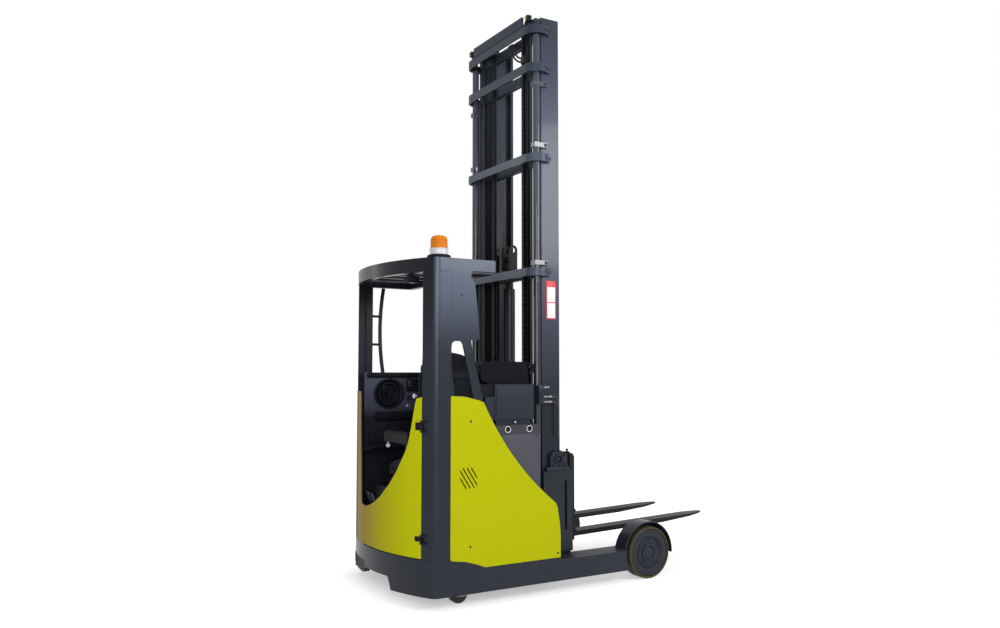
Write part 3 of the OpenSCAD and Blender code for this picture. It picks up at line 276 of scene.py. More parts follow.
def cylinder_paint_finish(colour):
    """Gloss paint of the lift cylinders, which catches tall thin highlights, with a painted
    highlight that lightens it above 2.1 m.
    """
    f = Finish("cylinder_paint")
    drift = f.cloud(8.0, 3.0)
    runs = f.soft_step(f.cloud(40.0, 4.0, 0.5, f.stretch(1.0, 1.0, 0.05)), 0.6, 0.8)
    base = f.mix(drift, tint(colour, 0.8), tint(colour, 1.1))
    # Painted highlight: lighter higher up the cylinders.
    base = f.mix(f.soft_step(f.part("Z"), 2.1, 3.0), base, tint(colour, 3.0))
    base = f.mix(runs * 0.3, base, tint(colour, 0.5))
    f.set(Base_Color=base, Roughness=0.24 + drift * 0.10, Specular_IOR_Level=0.2,
          Coat_Weight=0.4, Coat_Roughness=0.03)
    return f.material


def hood_paint_finish(colour):
    """Satin paint of the hood over the battery."""
    f = Finish("hood_paint")
    drift = f.cloud(6.0, 3.0)
    peel = f.cloud(500.0, 2.0)
    base = f.mix(drift, tint(colour, 0.9), tint(colour, 1.1))
    f.set(Base_Color=base, Roughness=0.38 + drift * 0.12, Specular_IOR_Level=0.16,
          Normal=f.relief(peel, 0.05, 0.0006))
    return f.material


def panel_paint_finish(colour, tail=False):
    """Panel paint with peel and grime; on the tail a painted highlight lightens the right end,
    painted shade and reflection turn it browner towards the left, and past y = 0.30 it is dark
    blue-grey.
    """
    f = Finish("tail_paint" if tail else "panel_paint")
    drift = f.cloud(1.8, 3.0)
    peel = f.cloud(420.0, 2.0)
    grime = f.soft_step(f.cloud(16.0, 6.0, 0.6), 0.60, 0.82)
    low = 1.0 - f.soft_step(f.part("Z"), 0.22, 0.50)
    base = f.mix(drift, tint(colour, 0.96), tint(colour, 1.04))
    if tail:
        y = f.part("Y")
        # Painted highlight at the tail's right end, and painted shade and reflection that turn it
        # browner towards the left.
        base = f.mix(f.soft_step(y, -0.50, 0.30), tint(colour, 1.24), (0.29, 0.17, 0.002, 1.0))
        base = f.mix(f.soft_step(y, 0.265, 0.30), base, (0.016, 0.020, 0.034, 1.0))
    base = f.mix((grime * (0.05 + low * 0.2)).held(), base, blend_to(colour, DUST, 0.5))
    f.set(Base_Color=base, Roughness=0.42 + grime * 0.12, Specular_IOR_Level=0.05,
          Normal=f.relief(peel, 0.03, 0.0005))
    return f.material


def label_finish(name, colour):
    """Painted plate with a little fading and fine scratches."""
    f = Finish(name)
    fade = f.cloud(30.0, 4.0)
    scratch = f.soft_step(f.cloud(120.0, 5.0, 0.6, f.stretch(1.0, 1.0, 0.2)), 0.66, 0.78)
    base = f.mix(fade, tint(colour, 0.88), tint(colour, 1.05))
    base = f.mix(scratch * 0.25, base, (0.35, 0.35, 0.36, 1.0))
    f.set(Base_Color=base, Roughness=0.34 + fade * 0.14, Normal=f.relief(fade, 0.05, 0.0004))
    return f.material


def screen_finish():
    """Dark glossy glass of the display."""
    f = Finish("display_glass")
    smear = f.cloud(24.0, 4.0)
    base = f.mix(smear, (0.006, 0.008, 0.012, 1.0), (0.012, 0.016, 0.022, 1.0))
    f.set(Base_Color=base, Roughness=0.06 + smear * 0.10, Coat_Weight=0.5)
    return f.material


def mat_finish():
    """Ribbed rubber matting."""
    f = Finish("floor_rubber")
    rib = (f.part("X") * 900.0).sine() * 0.5 + 0.5
    dirt = f.cloud(22.0, 5.0)
    base = f.mix(dirt, (0.010, 0.010, 0.011, 1.0), (0.026, 0.025, 0.023, 1.0))
    f.set(Base_Color=base, Roughness=0.70 + dirt * 0.2, Normal=f.relief(rib, 0.5, 0.002))
    return f.material


def tread_finish():
    """Pale worn tread of the pedals."""
    f = Finish("pedal_tread")
    stud = f.soft_step(f.cells(90.0), 0.25, 0.55)
    wear = f.cloud(40.0, 4.0)
    base = f.mix(stud, (0.34, 0.40, 0.46, 1.0), (0.07, 0.08, 0.10, 1.0))
    base = f.mix(wear * 0.4, base, (0.30, 0.32, 0.34, 1.0))
    f.set(Base_Color=base, Roughness=0.45 + wear * 0.2, Normal=f.relief(stud, 0.4, 0.0015))
    return f.material


def brass_finish():
    """Yellow-passivated fittings."""
    f = Finish("passivated_fitting")
    bloom = f.cloud(70.0, 4.0)
    base = f.mix(bloom, (0.30, 0.22, 0.06, 1.0), (0.50, 0.40, 0.16, 1.0))
    f.set(Base_Color=base, Metallic=0.85, Roughness=0.30 + bloom * 0.2)
    return f.material


def moulding_finish(colour, name="dark_moulding"):
    """Dark moulded plastic with a leather-like grain."""
    f = Finish(name)
    grain = f.cells(330.0)
    drift = f.cloud(5.0, 4.0)
    scuff = f.soft_step(f.cloud(60.0, 6.0, 0.65, f.stretch(0.3, 1.0, 1.0)), 0.63, 0.75)
    base = f.mix(drift, tint(colour, 0.85), tint(colour, 1.35))
    base = f.mix(scuff * 0.3, base, tint(colour, 2.0))
    f.set(Base_Color=base, Roughness=0.46 + drift * 0.16 - scuff * 0.06,
          Specular_IOR_Level=0.07, Normal=f.relief(grain, 0.12, 0.0006))
    return f.material


def weave_finish(colour):
    """Woven seat cloth with a two-way thread and soft sheen."""
    f = Finish("seat_weave")
    x, y, z = f.part("X"), f.part("Y"), f.part("Z")
    across = ((x + z * 0.6) * 2400.0).sine()
    along = ((y + z * 0.8) * 2400.0).sine()
    thread = across * along
    fleck = f.cloud(260.0, 3.0)
    worn = f.soft_step(f.cloud(6.0, 4.0), 0.45, 0.75)
    base = f.mix((thread * 0.5 + 0.5) * 0.8, tint(colour, 0.65), tint(colour, 1.6))
    base = f.mix((fleck * 0.4 + worn * 0.15).held(), base, tint(colour, 2.1))
    f.set(Base_Color=base, Roughness=0.82 + fleck * 0.12, Sheen_Weight=0.08,
          Specular_IOR_Level=0.12, Sheen_Roughness=0.5, Normal=f.relief(thread, 0.35, 0.0006))
    return f.material


def dash_finish(colour):
    """Greyer moulding of the dash, darker below its lower edge."""
    f = Finish("dash_moulding")
    grain = f.cells(330.0)
    drift = f.cloud(5.0, 4.0)
    low = 1.0 - f.soft_step(f.part("Z"), 1.10, 1.20)
    base = f.mix(drift, tint(colour, 5.0), tint(colour, 9.0))
    base = f.mix(low * 0.9, base, tint(colour, 1.2))
    f.set(Base_Color=base, Roughness=0.5 + drift * 0.12, Specular_IOR_Level=0.12,
          Normal=f.relief(grain, 0.12, 0.0006))
    return f.material


def vinyl_finish(colour):
    """Soft vinyl for seat sides and piping."""
    f = Finish("seat_vinyl")
    grain = f.cells(420.0)
    crease = f.cloud(28.0, 5.0, 0.6)
    base = f.mix(crease, tint(colour, 0.9), tint(colour, 1.8))
    f.set(Base_Color=base, Roughness=0.48 + crease * 0.18, Specular_IOR_Level=0.05,
          Normal=f.relief(grain * 0.4 + crease, 0.18, 0.0012))
    return f.material


def fork_finish(colour):
    """Black painted fork steel, rubbed along the blades."""
    f = Finish("fork_steel")
    mill = f.cloud(24.0, 6.0, 0.6)
    streak = f.soft_step(f.cloud(50.0, 5.0, 0.6, f.stretch(0.06, 1.0, 1.0)), 0.58, 0.74)
    base = f.mix(mill, tint(colour, 0.6), tint(colour, 1.4))
    base = f.mix(streak * 0.4, base, (0.04, 0.041, 0.045, 1.0))
    f.set(Base_Color=base, Roughness=0.44 + mill * 0.16, Metallic=streak * 0.3,
          Specular_IOR_Level=0.16, Normal=f.relief(mill, 0.10, 0.001))
    return f.material


def bright_steel_finish():
    """Ground bright steel with turning marks."""
    f = Finish("bright_steel")
    marks = f.cloud(90.0, 3.0, 0.5, f.stretch(1.0, 1.0, 14.0))
    base = f.mix(marks, (0.42, 0.43, 0.45, 1.0), (0.66, 0.67, 0.70, 1.0))
    f.set(Base_Color=base, Metallic=1.0, Roughness=0.20 + marks * 0.16,
          Normal=f.relief(marks, 0.04, 0.0004))
    return f.material


def zinc_finish():
    """Dull plated steel for bolts and brackets."""
    f = Finish("plated_steel")
    bloom = f.cells(46.0)
    stain = f.cloud(30.0, 5.0)
    base = f.mix(bloom, (0.16, 0.16, 0.17, 1.0), (0.28, 0.28, 0.30, 1.0))
    base = f.mix(stain * 0.5, base, (0.10, 0.095, 0.085, 1.0))
    f.set(Base_Color=base, Metallic=0.85, Roughness=0.36 + stain * 0.2)
    return f.material


def battery_finish():
    """Powder-coated battery case, slightly violet grey, with drip marks."""
    f = Finish("battery_case")
    speck = f.cloud(300.0, 2.0)
    drift = f.cloud(3.0, 4.0)
    drip = f.soft_step(f.cloud(36.0, 4.0, 0.5, f.stretch(1.0, 1.0, 0.08)), 0.60, 0.80)
    z = f.part("Z")
    rim = f.soft_step(z, 1.036, 1.040)
    base = f.mix(drift, (0.036, 0.038, 0.050, 1.0), (0.048, 0.050, 0.065, 1.0))
    base = f.mix(drip * 0.3, base, (0.045, 0.045, 0.052, 1.0))
    base = f.mix(rim * 0.85, base, (0.020, 0.021, 0.027, 1.0))
    f.set(Base_Color=base, Roughness=0.46 + drift * 0.1, Specular_IOR_Level=0.3,
          Normal=f.relief(speck, 0.12, 0.0005))
    return f.material


def tyre_finish(colour):
    """Cast tyre, olive brown at the shoulder and grubby on the tread."""
    f = Finish("cast_tyre")
    wheel_x, wheel_z = 0.518, 0.178
    x, z = f.part("X") - wheel_x, f.part("Z") - wheel_z
    out = (x * x + z * z).power(0.5)
    tread = f.soft_step(out, 0.170, 0.1765)
    grub = f.cloud(46.0, 6.0, 0.65)
    chips = f.soft_step(f.cells(70.0), 0.55, 0.75)
    base = f.mix(grub, tint(colour, 0.55), tint(colour, 1.35))
    base = f.mix((tread * (0.55 + grub * 0.5)).held(), base, (0.030, 0.029, 0.026, 1.0))
    base = f.mix(chips * 0.15, base, tint(colour, 0.4))
    f.set(Base_Color=base, Roughness=0.55 + grub * 0.2, Specular_IOR_Level=0.2,
          Normal=f.relief(grub, 0.2, 0.0015))
    return f.material


def rubber_finish():
    """Black rubber of the drive wheel, castor and foot."""
    f = Finish("black_rubber")
    grain = f.cloud(180.0, 5.0, 0.6)
    base = f.mix(grain, (0.010, 0.010, 0.011, 1.0), (0.022, 0.022, 0.023, 1.0))
    f.set(Base_Color=base, Roughness=0.62 + grain * 0.22, Normal=f.relief(grain, 0.2, 0.001))
    return f.material


def lens_finish(colour):
    """Orange beacon lens with moulded upright ribs."""
    f = Finish("beacon_lens")
    x, y = f.part("X") + 1.104, f.part("Y") + 0.550
    turn = f.node("ShaderNodeMath", {"operation": "ARCTAN2"}, {0: y, 1: x})
    rib = (turn * 36.0).sine() * 0.5 + 0.5
    height = f.part("Z")
    band = f.soft_step(height, 2.262, 2.285)
    base = f.mix(rib * 0.7, tint(colour, 0.62), tint(colour, 1.0))
    base = f.mix(band * 0.35, base, (0.85, 0.30, 0.02, 1.0))
    f.set(Base_Color=base, Roughness=0.26 + rib * 0.05, Specular_IOR_Level=0.10,
          Emission_Color=f.mix(rib, (0.55, 0.09, 0.0, 1.0), (0.8, 0.2, 0.01, 1.0)),
          Emission_Strength=0.08, Normal=f.relief(rib, 0.3, 0.002))
    return f.material


def white_plastic_finish():
    """White plastic of the beacon foot."""
    f = Finish("white_plastic")
    drift = f.cloud(40.0, 3.0)
    base = f.mix(drift, (0.50, 0.49, 0.53, 1.0), (0.60, 0.59, 0.63, 1.0))
    f.set(Base_Color=base, Roughness=0.30 + drift * 0.1, Normal=f.relief(drift, 0.03, 0.0005))
    return f.material


def chain_finish():
    """Oiled leaf chain: plates and pins along the run."""
    f = Finish("leaf_chain")
    z, y = f.part("Z"), f.part("Y")
    link = (z * (2 * math.pi / 0.032)).sine() * 0.5 + 0.5
    plate = (y * (2 * math.pi / 0.007)).sine() * 0.5 + 0.5
    oil = f.cloud(80.0, 4.0)
    base = f.mix(link * 0.7 + plate * 0.3, (0.003, 0.003, 0.004, 1.0), (0.020, 0.021, 0.025, 1.0))
    f.set(Base_Color=base, Metallic=0.1, Roughness=0.38 + oil * 0.2, Specular_IOR_Level=0.12,
          Normal=f.relief(link * 0.6 + plate * 0.4, 0.7, 0.004))
    return f.material


class Bench:
    """Shared modelling steps: start a primitive, shape it, hand it over as a piece."""

    finishes = {}

    @staticmethod
    def clear():
        if bpy.context.mode != "OBJECT":
            bpy.ops.object.mode_set(mode="OBJECT")
        bpy.ops.object.select_all(action="DESELECT")

    @classmethod
    def pick(cls, piece):
        cls.clear()
        piece.select_set(True)
        bpy.context.view_layer.objects.active = piece
        return piece

    @classmethod
    def settle(cls, piece):
        """Applies the piece's place, turn and size to its mesh."""
        cls.pick(piece)
        bpy.ops.object.transform_apply(location=True, rotation=True, scale=True)
        return piece

    @classmethod
    def block(cls, name, low, high, bevel=0.0, segments=2):
        """A box between two corners, in drawing millimetres, with softened edges."""
        cls.clear()
        first, last = at(*low), at(*high)
        size = Vector([abs(b - a) for a, b in zip(first, last)])
        bpy.ops.mesh.primitive_cube_add(size=1, location=(first + last) / 2, scale=size)
        piece = bpy.context.object
        piece.name = name
        bpy.ops.object.transform_apply(location=False, rotation=False, scale=True)
        if bevel:
            cls.round_edges(piece, bevel / 1000, segments)
        return piece

    @classmethod
    def ring(cls, name, centre, radius, thick, towards=(0, 0, 1), sides=64):
        """A round ring of round section; radius and thickness in millimetres."""
        cls.clear()
        turn = Vector(towards).to_track_quat("Z", "Y").to_euler()
        bpy.ops.mesh.primitive_torus_add(
            major_radius=radius / 1000, minor_radius=thick / 1000, major_segments=sides,
            minor_segments=12, location=at(*centre), rotation=turn)
        piece = bpy.context.object
        piece.name = name
        return piece

    @classmethod
    def turned(cls, name, profile, centre, towards=(0, 0, 1), sides=40):
        """A turned part: (radius, height) pairs in millimetres, spun round the axis."""
        cls.clear()
        bpy.ops.mesh.primitive_circle_add(vertices=len(profile), radius=0.01)
        piece = bpy.context.object
        piece.name = name
        for vertex, (radius, height) in zip(piece.data.vertices, profile):
            vertex.co = (radius / 1000, 0, height / 1000)
        bpy.ops.object.mode_set(mode="EDIT")
        bpy.ops.mesh.select_all(action="SELECT")
        bpy.ops.mesh.spin(steps=sides, angle=2 * math.pi, center=(0, 0, 0), axis=(0, 0, 1))
        bpy.ops.mesh.select_all(action="SELECT")
        bpy.ops.mesh.remove_doubles(threshold=0.00002)
        bpy.ops.mesh.dissolve_degenerate(threshold=0.00001)
        bpy.ops.mesh.normals_make_consistent(inside=False)
        bpy.ops.object.mode_set(mode="OBJECT")
        piece.location = at(*centre)
        piece.rotation_euler = Vector(towards).to_track_quat("Z", "Y").to_euler()
        return piece

    @classmethod
    def slab(cls, name, outline, flank, depth, bevel=0.0, segments=2):
        """An outline in x and z, in millimetres, at y = flank, extruded inwards by depth."""
        cls.clear()
        bpy.ops.mesh.primitive_circle_add(vertices=len(outline), radius=1, fill_type="NGON")
        piece = bpy.context.object
        piece.name = name
        for vertex, (x, z) in zip(piece.data.vertices, outline):
            vertex.co = at(x, flank, z)
        bpy.ops.object.mode_set(mode="EDIT")
        bpy.ops.mesh.select_all(action="SELECT")
        inwards = -math.copysign(depth / 1000, flank)
        bpy.ops.mesh.extrude_region_move(TRANSFORM_OT_translate={"value": (0, inwards, 0)})
        bpy.ops.mesh.select_all(action="SELECT")
        bpy.ops.mesh.normals_make_consistent(inside=False)
        bpy.ops.object.mode_set(mode="OBJECT")
        if bevel:
            cls.round_edges(piece, bevel / 1000, segments)
        return piece

    @classmethod
    def rod(cls, name, points, radius, closed=False, smooth=False):
        """A round rod, seal or hose of one thickness (metres) along drawing points."""
        cls.clear()
        curve = bpy.data.curves.new(name, "CURVE")
        curve.dimensions = "3D"
        curve.bevel_depth = radius
        curve.bevel_resolution = 3
        curve.use_fill_caps = not closed
        spline = curve.splines.new("NURBS" if smooth else "POLY")
        spline.points.add(len(points) - 1)
        for knot, point in zip(spline.points, points):
            knot.co = (*point, 1)
        spline.use_cyclic_u = closed
        if smooth:
            spline.use_endpoint_u = not closed
            spline.order_u = 4
            curve.resolution_u = 8
        piece = bpy.data.objects.new(name, curve)
        bpy.context.scene.collection.objects.link(piece)
        cls.pick(piece)
        bpy.ops.object.convert(target="MESH")
        return bpy.context.object

    @classmethod
    def round_edges(cls, piece, width, segments=2):
        bevel = piece.modifiers.new("edges", "BEVEL")
        bevel.width = width
        bevel.segments = segments
        bevel.limit_method = "ANGLE"
        bevel.angle_limit = math.radians(35)
        cls.pick(piece)
        bpy.ops.object.modifier_apply(modifier=bevel.name)
        return piece

    @classmethod
    def step_face(cls, piece, direction, inset, raise_by):
        """Insets the widest face that looks along direction and moves it in or out (metres)."""
        cls.pick(piece)
        bpy.ops.object.mode_set(mode="EDIT")
        bpy.ops.mesh.select_mode(type="FACE")
        bpy.ops.mesh.select_all(action="DESELECT")
        bpy.ops.object.mode_set(mode="OBJECT")
        direction = Vector(direction)
        turned = piece.matrix_world.to_3x3()
        facing = [p for p in piece.data.polygons if (turned @ p.normal).dot(direction) > 0.9]
        widest = max(p.area for p in facing)
        for p in facing:
            p.select = p.area > 0.99 * widest
        bpy.ops.object.mode_set(mode="EDIT")
        bpy.ops.mesh.inset(thickness=inset, depth=raise_by)
        bpy.ops.object.mode_set(mode="OBJECT")
        return piece

    @classmethod
    def join(cls, name, pieces, settle=True):
        for p in pieces if settle else ():
            cls.settle(p)
        cls.clear()
        for p in pieces:
            p.select_set(True)
        bpy.context.view_layer.objects.active = pieces[0]
        if len(pieces) > 1:
            bpy.ops.object.join()
        pieces[0].name = name
        return pieces[0]

    @classmethod
    def copies(cls, master, places):
        """One copy of master at each (point, direction), all with their own mesh."""
        made = []
        for point, direction in places:
            twin = master.copy()
            twin.data = master.data.copy()
            place = Matrix.Translation(at(*point))
            if direction:
                place @= Vector(direction).to_track_quat("Z", "Y").to_matrix().to_4x4()
            twin.matrix_world = place
            bpy.context.scene.collection.objects.link(twin)
            made.append(twin)
        bpy.data.objects.remove(master)
        return made

    @classmethod
    def hand_over(cls, piece, finish, body="truck", smooth=40, slot=None):
        """Places the mesh in the truck's frame, finishes it and lets it ride."""
        slot = slot or USUAL_SLOT[finish]
        cls.settle(piece)
        bpy.ops.object.shade_smooth_by_angle(angle=math.radians(smooth))
        piece.data.materials.clear()
        piece.data.materials.append(cls.finishes[finish])
        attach(piece, body)


def hex_bolt(radius, height):
    """A hexagon head on a washer, looking along +Z, seated at z = 0."""
    Bench.clear()
    bpy.ops.mesh.primitive_cylinder_add(vertices=20, radius=radius * 1.35, depth=height * 0.3,
                                        location=(0, 0, height * 0.15))
    washer = bpy.context.object
    Bench.round_edges(washer, height * 0.08, 1)
    Bench.clear()
    bpy.ops.mesh.primitive_cylinder_add(vertices=6, radius=radius, depth=height * 0.7,
                                        location=(0, 0, height * 0.65))
    head = bpy.context.object
    Bench.step_face(head, (0, 0, 1), radius * 0.18, height * 0.1)
    return Bench.join("bolt", [washer, head])


def socket_screw(radius, height):
    """A domed screw head with a socket, looking along +Z."""
    Bench.clear()
    bpy.ops.mesh.primitive_cylinder_add(vertices=24, radius=radius, depth=height,
                                        location=(0, 0, height / 2))
    screw = bpy.context.object
    Bench.step_face(screw, (0, 0, 1), radius * 0.25, height * 0.25)
    Bench.step_face(screw, (0, 0, 1), radius * 0.25, 0.0)
    Bench.step_face(screw, (0, 0, 1), radius * 0.02, -height * 0.6)
    return Bench.settle(screw)


MX = 1.16
RIGHT, LEFT = -1, 1
SIDES = (RIGHT, LEFT)
TAG = {RIGHT: "right", LEFT: "left"}
OUT = {RIGHT: (0, -1, 0), LEFT: (0, 1, 0)}
UP = (0, 0, 1)
DOWN = (0, 0, -1)
AHEAD = (1, 0, 0)
BACK = (-1, 0, 0)
FLANK = 625
TAIL_R = 1233.9
TAIL_X = 1063.9


def at(x, y, z):
    """A point of the drawing, in millimetres from the rear corner, in the truck's frame."""
    return Vector((x / 1000 - MX, y / 1000, z / 1000))


def tail_x(y, inside=0.0):
    """Where the curved tail lies for a given y, in millimetres."""
    return TAIL_X - math.sqrt((TAIL_R - inside) ** 2 - y * y)


def sized():
    return bpy.context.scene.truck_sizes


USUAL_SLOT = {
    "moulding": "dark_plastic",
    "display": "dark_plastic",
    "vinyl": "seat_fabric",
    "weave": "seat_fabric",
    "white_plastic": "lamp_base",
    "label_red": "lamp_base",
    "label_white": "lamp_base",
    "lens": "lamp_orange",
    "hood_paint": "grey_paint",
    "frame_paint": "grey_paint",
    "mast_paint": "grey_paint",
    "bright_steel": "bright_steel",
    "brass": "bright_steel",
    "zinc": "zinc_steel",
    "fork_steel": "black_steel",
    "leaf_chain": "black_steel",
    "black_rubber": "drive_rubber",
    "matting": "drive_rubber",
    "tread": "drive_rubber",
    "battery": "battery_grey",
}


class TRUCK_OT_stage(bpy.types.Operator):
    """Camera, floor, soft studio light and white surroundings"""

    bl_idname = "truck.stage"
    bl_label = "Stage"

    camera_place = (-3.5135, -5.352, 1.4498)
    camera_yaw, camera_pitch = 0.5362, 0.0655
    camera_lens, camera_sensor = 31.01, 36
    lamps = (
        # name, place, target, width, height, power
        ("key", (-4.0, -7.4, 2.6), (-0.5, -0.4, 1.1), 3.0, 3.0, 285),
        ("mast_strip", (2.66, -4.7, 3.7), (-0.2, -0.45, 2.8), 0.8, 1.8, 110),
        ("guard_strip", (1.15, -4.7, 2.95), (-1.0, -0.62, 2.0), 0.9, 0.7, 34),
        ("edge_strip", (-5.5, -3.6, 2.6), (-0.9, -0.4, 1.6), 0.12, 4.0, 30),
        ("far_strip", (-4.2, 5.5, 3.0), (-0.4, 0.2, 1.8), 0.8, 4.0, 30),
        ("front_fill", (6.0, 3.0, 4.0), (0.2, 0, 1.5), 3.0, 3.0, 60),
    )
    truck_half_length, truck_half_width, shade_reach = 1.05, 0.50, 0.5
    sky_light = 0.36

    def execute(self, context):
        scene = context.scene
        scene.view_settings.view_transform = "Standard"
        cam = bpy.data.objects.new("camera", bpy.data.cameras.new("camera"))
        scene.collection.objects.link(cam)
        cam.data.sensor_width = self.camera_sensor
        cam.data.lens = self.camera_lens
        cam.data.clip_end = 200
        yaw, pitch = self.camera_yaw, self.camera_pitch
        look = Vector((math.sin(yaw) * math.cos(pitch),
                       math.cos(yaw) * math.cos(pitch), math.sin(pitch)))
        cam.location = self.camera_place
        cam.rotation_mode = "QUATERNION"
        cam.rotation_quaternion = look.to_track_quat("-Z", "Y")
        scene.camera = cam
        self.floor()
        self.surroundings(scene)
        for lamp in self.lamps:
            self.lamp(*lamp)
        return {"FINISHED"}

    def floor(self):
        Bench.clear()
        bpy.ops.mesh.primitive_plane_add(size=120)
        floor = bpy.context.object
        floor.name = "floor"
        f = Finish("studio_floor")
        ray = f.node("ShaderNodeLightPath", output="Is Camera Ray")
        mirror = f.node("ShaderNodeLightPath", output="Is Glossy Ray")
        through = f.node("ShaderNodeLightPath", output="Is Transmission Ray")
        f.set(Base_Color=(0.86, 0.86, 0.865, 1), Roughness=0.9, Specular_IOR_Level=0.0)
        # Painted shadow: the floor's glow for camera, glossy and transmission rays is lower near
        # the truck's footprint and rises further out.
        x = (f.part("X").size() - self.truck_half_length).highest(0.0)
        y = (f.part("Y").size() - self.truck_half_width).highest(0.0)
        away = f.soft_step((x * x + y * y).power(0.5), 0.0, self.shade_reach)
        glow = f.tree.nodes.new("ShaderNodeEmission")
        tone = f.mix(away, (0.42, 0.42, 0.425, 1), (0.76, 0.76, 0.76, 1))
        f.tree.links.new(tone.socket, glow.inputs["Color"])
        seen = ray.highest(mirror).highest(through)
        f.tree.links.new(seen.socket, glow.inputs["Strength"])
        add = f.tree.nodes.new("ShaderNodeAddShader")
        out = f.tree.nodes["Material Output"]
        f.tree.links.new(f.shader.outputs[0], add.inputs[0])
        f.tree.links.new(glow.outputs[0], add.inputs[1])
        f.tree.links.new(add.outputs[0], out.inputs["Surface"])
        floor.data.materials.append(f.material)

    def surroundings(self, scene):
        world = bpy.data.worlds.new("surroundings")
        world.use_nodes = True
        tree = world.node_tree
        back = tree.nodes["Background"]
        rays = tree.nodes.new("ShaderNodeLightPath")
        seen = None
        for kind in ("Is Camera Ray", "Is Glossy Ray", "Is Transmission Ray"):
            if seen is None:
                seen = rays.outputs[kind]
                continue
            either = tree.nodes.new("ShaderNodeMath")
            either.operation = "MAXIMUM"
            tree.links.new(seen, either.inputs[0])
            tree.links.new(rays.outputs[kind], either.inputs[1])
            seen = either.outputs[0]
        strength = tree.nodes.new("ShaderNodeMapRange")
        strength.inputs["To Min"].default_value = self.sky_light
        strength.inputs["To Max"].default_value = 1.0
        tree.links.new(seen, strength.inputs["Value"])
        tree.links.new(strength.outputs[0], back.inputs["Strength"])
        back.inputs["Color"].default_value = (1, 1, 1, 1)
        scene.world = world

    def lamp(self, name, place, target, width, height, power):
        light = bpy.data.lights.new(name, "AREA")
        light.shape = "RECTANGLE"
        light.size = width
        light.size_y = height
        light.energy = power
        lamp = bpy.data.objects.new(name, light)
        lamp.location = place
        lamp.rotation_mode = "QUATERNION"
        lamp.rotation_quaternion = (Vector(target) - Vector(place)).to_track_quat("-Z", "Y")
        bpy.context.scene.collection.objects.link(lamp)


class TRUCK_OT_finishes(bpy.types.Operator):
    """Paint, plastic, steel and rubber on every solid of the truck"""

    bl_idname = "truck.finishes"
    bl_label = "Finishes"

    by_node = {
        "dashboard": "dash_moulding",
        "hood_top": "black_moulding",
        "seat_base": "black_moulding",
        "outer_mast": "mast_paint",
        "outer_crossbars": "mast_paint",
        "rear_panel": "tail_paint",
        "tail_strip": "tail_paint",
        "hinge_brackets": "moulding",
        "door_hinges": "moulding",
        "lift_chains": "leaf_chain",
        "middle_mast": "inner_mast",
        "middle_crossbars": "inner_mast",
        "chain_guards": "inner_mast",
        "middle_top_tie": "inner_mast",
        "inner_mast": "inner_mast",
        "lift_head": "inner_mast",
        "mast_hoses": "black_rubber",
        "tail_foot": "black_rubber",
        "battery_hood": "hood_paint",
        "free_lift_head": "fork_steel",
        "lift_barrels": "cylinder_paint",
    }
    by_slot = {
        "grey_paint": "frame_paint",
        "green_paint": "panel_paint",
        "dark_plastic": "moulding",
        "seat_fabric": "weave",
        "black_steel": "fork_steel",
        "bright_steel": "bright_steel",
        "battery_grey": "battery",
        "load_tyre": "cast_tyre",
        "drive_rubber": "black_rubber",
        "lamp_orange": "lens",
        "lamp_base": "white_plastic",
        "zinc_steel": "zinc",
    }
    plain_edges = {"mast_hoses", "lift_chains", "beacon_lens", "pedals"}

    def execute(self, context):
        c = context.scene.truck_colours
        Bench.finishes.update({
            "frame_paint": frame_paint_finish(c.frame_paint),
            "mast_paint": frame_paint_finish(c.frame_paint, mast=True),
            "cylinder_paint": cylinder_paint_finish(c.frame_paint),
            "inner_mast": inner_mast_finish(c.frame_paint),
            "hood_paint": hood_paint_finish(c.frame_paint),
            "panel_paint": panel_paint_finish(c.panel_paint),
            "tail_paint": panel_paint_finish(c.panel_paint, tail=True),
            "moulding": moulding_finish(c.moulding),
            "dash_moulding": dash_finish(c.moulding),
            "black_moulding": moulding_finish(Vector(c.moulding) * 0.4, "black_moulding"),
            "weave": weave_finish(c.upholstery),
            "vinyl": vinyl_finish(c.upholstery),
            "fork_steel": fork_finish(c.fork_steel),
            "bright_steel": bright_steel_finish(),
            "zinc": zinc_finish(),
            "brass": brass_finish(),
            "battery": battery_finish(),
            "cast_tyre": tyre_finish(c.tyre),
            "black_rubber": rubber_finish(),
            "matting": mat_finish(),
            "tread": tread_finish(),
            "display": screen_finish(),
            "lens": lens_finish(c.lamp),
            "white_plastic": white_plastic_finish(),
            "label_red": label_finish("label_edge", c.label_red),
            "label_white": label_finish("label_field", (0.80, 0.80, 0.82)),
            "leaf_chain": chain_finish(),
        })
        for name, solid in nodes.items():
            finish = self.by_node.get(name) or self.by_slot[SLOT[name]]
            for holder in solid.material_slots:
                holder.material = Bench.finishes[finish]
            if name not in self.plain_edges:
                self.soften(solid, context.scene.truck_sizes.edge_width)
        return {"FINISHED"}

    def soften(self, solid, width):
        """Merges the loose triangles, rounds the edges and evens the shading of flats."""
        count = len(solid.data.polygons)
        solid.data.polygons.foreach_set("use_smooth", [True] * count)
        weld = solid.modifiers.new("weld", "WELD")
        weld.merge_threshold = 0.00002
        flats = solid.modifiers.new("flats", "DECIMATE")
        flats.decimate_type = "DISSOLVE"
        flats.angle_limit = math.radians(1.0)
        bevel = solid.modifiers.new("edges", "BEVEL")
        bevel.width = width
        bevel.segments = 2
        bevel.limit_method = "ANGLE"
        bevel.angle_limit = math.radians(28)
        bevel.use_clamp_overlap = True
        even = solid.modifiers.new("even", "WEIGHTED_NORMAL")
        even.weight = 100


